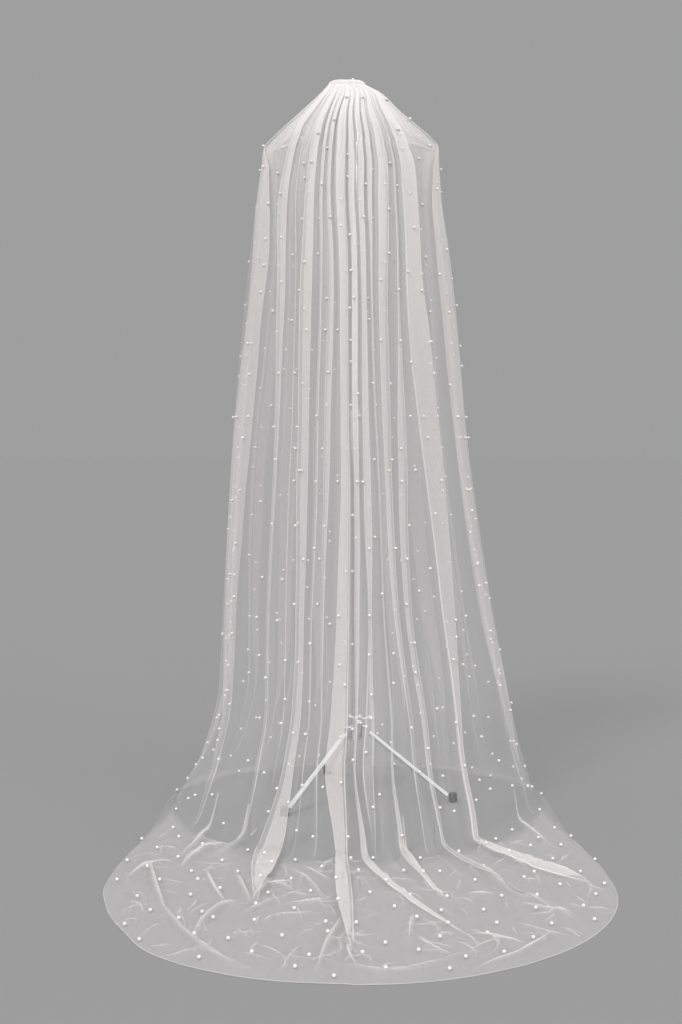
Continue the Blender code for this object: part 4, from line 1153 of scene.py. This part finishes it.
def tulle_material():
    """Sheer net: each place lets through what its number of layers leaves."""
    found = bpy.data.materials.get("sheer_tulle")
    if found:
        return found
    looks = bpy.context.scene.veil_tulle
    material, tree, shader = new_material("sheer_tulle")
    cut = add_node(tree, "ShaderNodeAttribute", attribute_name="cut")
    # The plies hold the layers of net. Over the cap they also hold painted light from above.
    plies = add_node(tree, "ShaderNodeAttribute", attribute_name="plies")
    net = place_group(tree, net_group(), Cut=cut.outputs["Vector"], Cell=looks.cell)
    mottle = add_node(tree, "ShaderNodeTexNoise")
    feed(tree, mottle.inputs["Vector"], cut.outputs["Vector"])
    mottle.inputs["Scale"].default_value = 9.0
    mottle.inputs["Detail"].default_value = 1.0
    uneven = range_node(tree, mottle.outputs["Fac"], 0.25, 0.75, 0.90, 1.10, "LINEAR")
    threads = range_node(tree, net.outputs["Thread"], 0.0, 1.0, 0.72, 1.75, "LINEAR")
    depth = range_node(tree, plies.outputs["Fac"], 4.5, 9.0, 0.05, 0.24)
    streaks = place_group(tree, streak_group(), Cut=cut.outputs["Vector"], Depth=depth)
    uneven = math_node(tree, "MULTIPLY", uneven, streaks.outputs["Streaks"])
    layers = math_node(
        tree, "MULTIPLY", plies.outputs["Fac"], math_node(tree, "MULTIPLY", uneven, threads)
    )
    passed = math_node(tree, "POWER", 1.0 - looks.cover, layers)
    alpha = math_node(tree, "SUBTRACT", 1.0, passed, clamp=True)
    feed(tree, shader.inputs["Alpha"], alpha)
    colour = mix_colours(tree, mottle.outputs["Fac"], looks.colour, looks.shade)
    feed(tree, shader.inputs["Base Color"], colour)
    shader.inputs["Roughness"].default_value = 0.62
    shader.inputs["Specular IOR Level"].default_value = 0.25
    shader.inputs["Sheen Weight"].default_value = 0.25
    shader.inputs["Sheen Roughness"].default_value = 0.45
    bump = add_node(tree, "ShaderNodeBump")
    bump.inputs["Strength"].default_value = 0.25
    bump.inputs["Distance"].default_value = 0.0002
    feed(tree, bump.inputs["Height"], net.outputs["Thread"])
    feed(tree, shader.inputs["Normal"], bump.outputs["Normal"])
    return material


def worn_material(name, colour, low, high, metallic=0.0, coat=0.0, marks=40.0, relief=0.00002, mottle=0.06):
    """A hard finish with its handling marks."""
    material, tree, shader = new_material(name)
    wear = place_group(tree, wear_group(), Scale=marks, Low=low, High=high)
    darker = [value * (1.0 - mottle) for value in colour]
    feed(tree, shader.inputs["Base Color"], mix_colours(tree, wear.outputs["Mottle"], colour, darker))
    feed(tree, shader.inputs["Roughness"], wear.outputs["Roughness"])
    shader.inputs["Metallic"].default_value = metallic
    shader.inputs["Coat Weight"].default_value = coat
    shader.inputs["Coat Roughness"].default_value = 0.08
    bump = add_node(tree, "ShaderNodeBump")
    bump.inputs["Strength"].default_value = 0.2
    bump.inputs["Distance"].default_value = relief
    feed(tree, bump.inputs["Height"], wear.outputs["Height"])
    feed(tree, shader.inputs["Normal"], bump.outputs["Normal"])
    return material, shader


# Pearls


def ball(segments=12, rings=8):
    """Points and faces of a ball of radius 1."""
    shape = bmesh.new()
    bmesh.ops.create_uvsphere(shape, u_segments=segments, v_segments=rings, radius=1.0)
    shape.verts.ensure_lookup_table()
    points = np.array([vert.co for vert in shape.verts])
    faces = [tuple(vert.index for vert in face.verts) for face in shape.faces]
    shape.free()
    return points, faces


def hanging_pearls(cloth, rings, spacing):
    """Places of the pearls down the hanging cloth, evenly strewn over the flat tulle."""
    rng = np.random.default_rng(17)
    hanging = int((rings.step <= 0.0).sum())
    fall = cloth.cut[:hanging, :, 1].mean(axis=1)
    outer = np.flatnonzero(cloth.outer)
    found = []
    for order, place in enumerate(np.arange(0.050, fall[-1] - 0.03, spacing * 0.95)):
        across = np.arange(-2.0, 2.0, spacing) + spacing * 0.5 * (order % 2)
        for spot in across + rng.uniform(-PEARL_STRAY, PEARL_STRAY, len(across)) * spacing:
            slip = rng.uniform(-PEARL_SLIP, PEARL_SLIP) * spacing
            row = int(np.argmin(np.abs(fall - place - slip)))
            gaps = np.abs(cloth.cut[row, outer, 0] - spot)
            nearest = int(np.argmin(gaps))
            height = rings.height[row]
            kept = rng.uniform() < (KEPT_ON_CAP if height > CAP_FOOT else KEPT_BELOW) / cloth.gathered[row]
            near = PEARL_NEAR + PEARL_NEARER * eased(height, 1.0, 1.35)
            if kept and gaps[nearest] < near and row > 0:
                found.append((min(row, hanging - 2), int(outer[nearest])))
    shoulder = int(np.argmin(np.abs(rings.height - SHOULDER_PEARL)))
    found.append((shoulder, int(np.argmin(cloth.points[shoulder, :, 0]))))
    return found


def train_pearls(cloth, rings, spacing):
    """Places of the pearls on the train, in staggered rows."""
    rng = np.random.default_rng(29)
    hanging = int((rings.step <= 0.0).sum())
    lying = cloth.points[hanging:-4]
    outer = np.flatnonzero(cloth.outer)
    spots = lying[:, outer, :2].reshape(-1, 2)
    found = []
    for order, forward in enumerate(np.arange(-0.36, 1.28, spacing * 0.90)):
        for across in np.arange(-0.55, 0.56, spacing) + spacing * 0.5 * (order % 2):
            place = np.array([across, POLE_Y - forward]) + rng.uniform(-TRAIN_STRAY, TRAIN_STRAY, 2)
            gaps = np.linalg.norm(spots - place, axis=1)
            nearest = int(np.argmin(gaps))
            if gaps[nearest] < PEARL_ON_TRAIN:
                found.append((hanging + nearest // len(outer), int(outer[nearest % len(outer)])))
    return found


def add_pearls(name, spots, ways, radius, material):
    """One mesh of pearls, each sewn on at its spot and standing out along its way."""
    points, faces = ball()
    verts, polys = [], []
    for spot, way in zip(spots, ways):
        turn = Vector(way).to_track_quat("Z", "Y").to_matrix()
        turned = points @ np.array(turn).T
        base = len(verts) * len(points)
        verts.append(spot + way * radius * PEARL_SEAT + turned * radius)
        polys += [tuple(base + index for index in face) for face in faces]
    mesh = bpy.data.meshes.new(name)
    mesh.from_pydata(np.concatenate(verts).tolist(), [], polys)
    mesh.polygons.foreach_set("use_smooth", np.ones(len(mesh.polygons), bool))
    mesh.materials.append(material)
    item = bpy.data.objects.new(name, mesh)
    bpy.context.scene.collection.objects.link(item)
    return item


# Operators


class VEIL_OT_tulle(bpy.types.Operator):
    """Makes the veil's five stretches of tulle, from the comb to the hem"""

    bl_idname = "veil.make_tulle"
    bl_label = "Make the tulle"

    def execute(self, context):
        cloth = make_cloth()
        ribbons = make_ribbons(cloth, make_rings())
        for index, stretch in enumerate(STRETCHES):
            first, last = cloth.ends[index], cloth.ends[index + 1]
            part = slice(first, last + 1)
            points = cloth.points[:, part]
            item = add_grid(
                f"tulle_{stretch.name}",
                points,
                cloth.normals[:, part],
                cloth.cut[:, part],
                cloth.plies[:, part],
                tulle_material(),
                ribbons[index],
            )
            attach(item, BODY)
            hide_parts(*stretch.nodes)
        return {"FINISHED"}

    @staticmethod
    def cut_sizes(points, gathered):
        """Width and length of a stretch with its folds and gathers pulled out, and its area."""
        wide = np.linalg.norm(np.diff(points, axis=1), axis=2)
        tall = np.linalg.norm(np.diff(points, axis=0), axis=2)
        flat = (wide.sum(axis=1) * gathered).max(), tall.sum(axis=0).max()
        drawn = (wide[:-1] * (tall[:, :-1] + tall[:, 1:]) / 2.0).sum(axis=1)
        area = float((drawn * gathered[:-1]).sum())
        return tuple(round(float(size), 2) for size in flat), area


class VEIL_OT_heading(bpy.types.Operator):
    """Makes the gathered top edge that is sewn over the comb"""

    bl_idname = "veil.make_heading"
    bl_label = "Make the heading"

    def execute(self, context):
        cloth = make_cloth()
        top = cloth.points[0]
        middle = (RING_ROWS[0].right - RING_ROWS[0].left) / 2.0
        rng = np.random.default_rng(31)
        pucker = np.convolve(rng.uniform(-1.0, 1.0, len(top) + 8), np.ones(9) / 9.0, mode="valid")
        rows = []
        for turn in np.radians(np.linspace(0.0, 90.0, 12)):
            rise = math.sin(turn)
            point = top.copy()
            deep = max(math.cos(turn), 0.0) ** HEADING_ROUNDNESS
            point[:, 0] = middle + (top[:, 0] - middle) * (1.0 - HEADING_DRAWN_IN * rise**2.5)
            point[:, 1] = POLE_Y + (top[:, 1] - POLE_Y) * deep
            point[:, 2] = top[:, 2] + (VEIL_TOP - top[:, 2]) * rise + HEADING_PUCKER * pucker * rise
            rows.append(point)
        points = np.array(rows)
        fall = np.linspace(-0.02, 0.0, len(rows))[:, None] + 0.0 * top[None, :, 0]
        along = cloth.cut[0][None, :, 0] + 0.0 * fall
        cut = np.stack([along, fall, 0.0 * fall], axis=-1)
        # The heading takes the top row's plies, which include the cap's painted light from above.
        plies = cloth.plies[0][None, :] * np.linspace(1.0, 1.2, len(rows))[:, None]
        item = add_grid("tulle_heading", points, grid_normals(points), cut, plies, tulle_material())
        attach(item, BODY)
        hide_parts("veil_heading")
        return {"FINISHED"}


class VEIL_OT_pearls(bpy.types.Operator):
    """Sews the pearls onto the tulle"""

    bl_idname = "veil.sew_pearls"
    bl_label = "Sew on the pearls"

    def execute(self, context):
        looks = context.scene.veil_pearls
        cloth = make_cloth()
        rings = make_rings()
        material, shader = worn_material(
            "sewn_pearl", looks.colour, 0.12, 0.28, coat=0.6, marks=90.0, relief=0.00003, mottle=0.05
        )
        shader.inputs["Sheen Weight"].default_value = 0.2
        shader.inputs["Specular IOR Level"].default_value = 0.7
        found = hanging_pearls(cloth, rings, looks.spacing)
        found += train_pearls(cloth, rings, looks.train_spacing)
        for index, stretch in enumerate(STRETCHES):
            first, last = cloth.ends[index], cloth.ends[index + 1]
            mine = [spot for spot in found if first <= spot[1] < last]
            spots = [cloth.points[spot] for spot in mine]
            ways = [-cloth.normals[spot] for spot in mine]
            ways = [way if self.outward(spot, way) else -way for spot, way in zip(spots, ways)]
            item = add_pearls(f"pearls_{stretch.name}", spots, ways, looks.diameter / 2.0, material)
            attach(item, BODY)
        top = Vector((-0.006, POLE_Y, VEIL_TOP - 0.001))
        up = np.array((0.0, 0.0, 1.0))
        item = add_pearls("pearl_top", [np.array(top)], [up], looks.diameter / 2.0, material)
        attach(item, BODY)
        return {"FINISHED"}

    @staticmethod
    def outward(spot, way):
        """Whether a way points out of the veil, or up where the cloth lies."""
        if spot[2] < 0.03:
            return way[2] > 0.0
        return way[0] * spot[0] + way[1] * (spot[1] - POLE_Y) + way[2] * 0.2 > 0.0


class VEIL_OT_comb(bpy.types.Operator):
    """Finishes the clear plastic comb"""

    bl_idname = "veil.finish_comb"
    bl_label = "Finish the comb"

    def execute(self, context):
        looks = context.scene.veil_stand
        material, shader = worn_material("clear_comb", looks.comb, 0.14, 0.30, coat=0.3, marks=60.0)
        shader.inputs["Transmission Weight"].default_value = 0.55
        shader.inputs["IOR"].default_value = 1.49
        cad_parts["veil_comb"].material_slots[0].material = material
        return {"FINISHED"}


class VEIL_OT_stand(bpy.types.Operator):
    """Finishes the chrome stand and its rubber feet"""

    bl_idname = "veil.finish_stand"
    bl_label = "Finish the stand"

    def execute(self, context):
        looks = context.scene.veil_stand
        chrome, _ = worn_material(
            "polished_chrome", looks.chrome, 0.05, 0.17, metallic=1.0, marks=30.0, relief=0.00001
        )
        rubber, _ = worn_material(
            "black_rubber", looks.rubber, 0.55, 0.85, marks=120.0, relief=0.0001, mottle=0.3
        )
        for name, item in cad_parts.items():
            if name.startswith("stand_"):
                item.material_slots[0].material = rubber if "foot" in name else chrome
        return {"FINISHED"}


class VEIL_OT_stage(bpy.types.Operator):
    """Lays the floor and sets the lights and the camera"""

    bl_idname = "veil.set_stage"
    bl_label = "Set the stage"

    def execute(self, context):
        looks = context.scene.veil_stage
        shape = bmesh.new()
        bmesh.ops.create_circle(shape, cap_ends=True, radius=60.0, segments=64)
        mesh = bpy.data.meshes.new("floor")
        shape.to_mesh(mesh)
        shape.free()
        floor = bpy.data.objects.new("floor", mesh)
        context.scene.collection.objects.link(floor)
        material, tree, shader = new_material("floor")
        shader.inputs["Base Color"].default_value = (*looks.floor, 1.0)
        shader.inputs["Roughness"].default_value = 0.9
        shader.inputs["Specular IOR Level"].default_value = 0.0
        mesh.materials.append(material)
        self.set_world(context, looks)
        for name, strength, elevation, turn, angle in (
            ("key_light", 1.50, 42.0, -32.0, 20.0),
            ("fill_light", 0.75, 24.0, 48.0, 30.0),
        ):
            self.add_sun(context, name, strength, elevation, turn, angle)
        camera = bpy.data.cameras.new("camera")
        camera.sensor_width = 36.0
        camera.lens = 1422.0 * 36.0 / 1024.0
        camera.shift_x = -14.0 / 1024.0
        camera.shift_y = -76.0 / 1024.0
        item = bpy.data.objects.new("camera", camera)
        item.location = (0.0, POLE_Y - looks.distance, looks.height)
        item.rotation_euler = (math.pi / 2.0, 0.0, 0.0)
        context.scene.collection.objects.link(item)
        context.scene.camera = item
        context.scene.view_settings.view_transform = "Standard"
        context.scene.cycles.transparent_max_bounces = 64
        return {"FINISHED"}

    @staticmethod
    def add_sun(context, name, strength, elevation, turn, angle):
        """A wide soft light from a height and a turn away from the camera's side."""
        light = bpy.data.lights.new(name, "SUN")
        light.energy = strength
        light.angle = math.radians(angle)
        item = bpy.data.objects.new(name, light)
        rise, way = math.radians(elevation), math.radians(turn)
        back = Vector((math.sin(way) * math.cos(rise), -math.cos(way) * math.cos(rise), math.sin(rise)))
        item.rotation_euler = back.to_track_quat("Z", "Y").to_euler()
        item.location = back * 4.0
        context.scene.collection.objects.link(item)

    @staticmethod
    def set_world(context, looks):
        """An even studio light, with the floor's own shade behind the object."""
        world = bpy.data.worlds.new("studio")
        world.use_nodes = True
        tree = world.node_tree
        light = tree.nodes["Background"]
        light.inputs["Color"].default_value = (1.0, 1.0, 1.0, 1.0)
        way = add_node(tree, "ShaderNodeTexCoord").outputs["Generated"]
        parts = add_node(tree, "ShaderNodeSeparateXYZ")
        feed(tree, parts.inputs[0], way)
        height = parts.outputs["Z"]
        sky = range_node(tree, height, -0.1, 0.9, 0.31, 1.15)
        wall = math_node(
            tree,
            "MULTIPLY",
            range_node(tree, height, -0.06, 0.05, 0.0, 0.50),
            range_node(tree, height, 0.20, 0.50, 1.0, 0.0),
        )
        feed(tree, light.inputs["Strength"], math_node(tree, "ADD", sky, wall))
        seen = add_node(tree, "ShaderNodeBackground")
        seen.inputs["Color"].default_value = (*looks.floor, 1.0)
        seen.inputs["Strength"].default_value = looks.backdrop
        path = add_node(tree, "ShaderNodeLightPath")
        mix = add_node(tree, "ShaderNodeMixShader")
        tree.links.new(path.outputs["Is Camera Ray"], mix.inputs[0])
        tree.links.new(light.outputs[0], mix.inputs[1])
        tree.links.new(seen.outputs[0], mix.inputs[2])
        tree.links.new(mix.outputs[0], tree.nodes["World Output"].inputs["Surface"])
        context.scene.world = world


class VEIL_PT_panel(bpy.types.Panel):
    """Lists the veil's pieces, sizes and colours"""

    bl_label = "Veil"
    bl_idname = "VEIL_PT_panel"
    bl_space_type = "VIEW_3D"
    bl_region_type = "UI"
    bl_category = "Veil"

    def draw(self, context):
        for owner in SETTINGS:
            box = self.layout.box()
            looks = getattr(context.scene, owner)
            for name in looks.__annotations__:
                box.prop(looks, name)
        for operator in OPERATORS:
            self.layout.operator(operator.bl_idname)


SETTINGS = {
    "veil_tulle": VeilTulle,
    "veil_pearls": VeilPearls,
    "veil_stand": VeilStand,
    "veil_stage": VeilStage,
}
OPERATORS = (
    VEIL_OT_stage,
    VEIL_OT_stand,
    VEIL_OT_comb,
    VEIL_OT_tulle,
    VEIL_OT_heading,
    VEIL_OT_pearls,
)


def register():
    for kind in (*SETTINGS.values(), *OPERATORS, VEIL_PT_panel):
        bpy.utils.register_class(kind)
    for name, kind in SETTINGS.items():
        setattr(bpy.types.Scene, name, PointerProperty(type=kind))


def unregister():
    for name in SETTINGS:
        delattr(bpy.types.Scene, name)
    for kind in (VEIL_PT_panel, *OPERATORS, *SETTINGS.values()):
        bpy.utils.unregister_class(kind)


def main():
    register()
    bpy.ops.veil.set_stage()
    bpy.ops.veil.finish_stand()
    bpy.ops.veil.finish_comb()
    bpy.ops.veil.make_tulle()
    bpy.ops.veil.make_heading()
    bpy.ops.veil.sew_pearls()


if __name__ == "__main__":
    main()
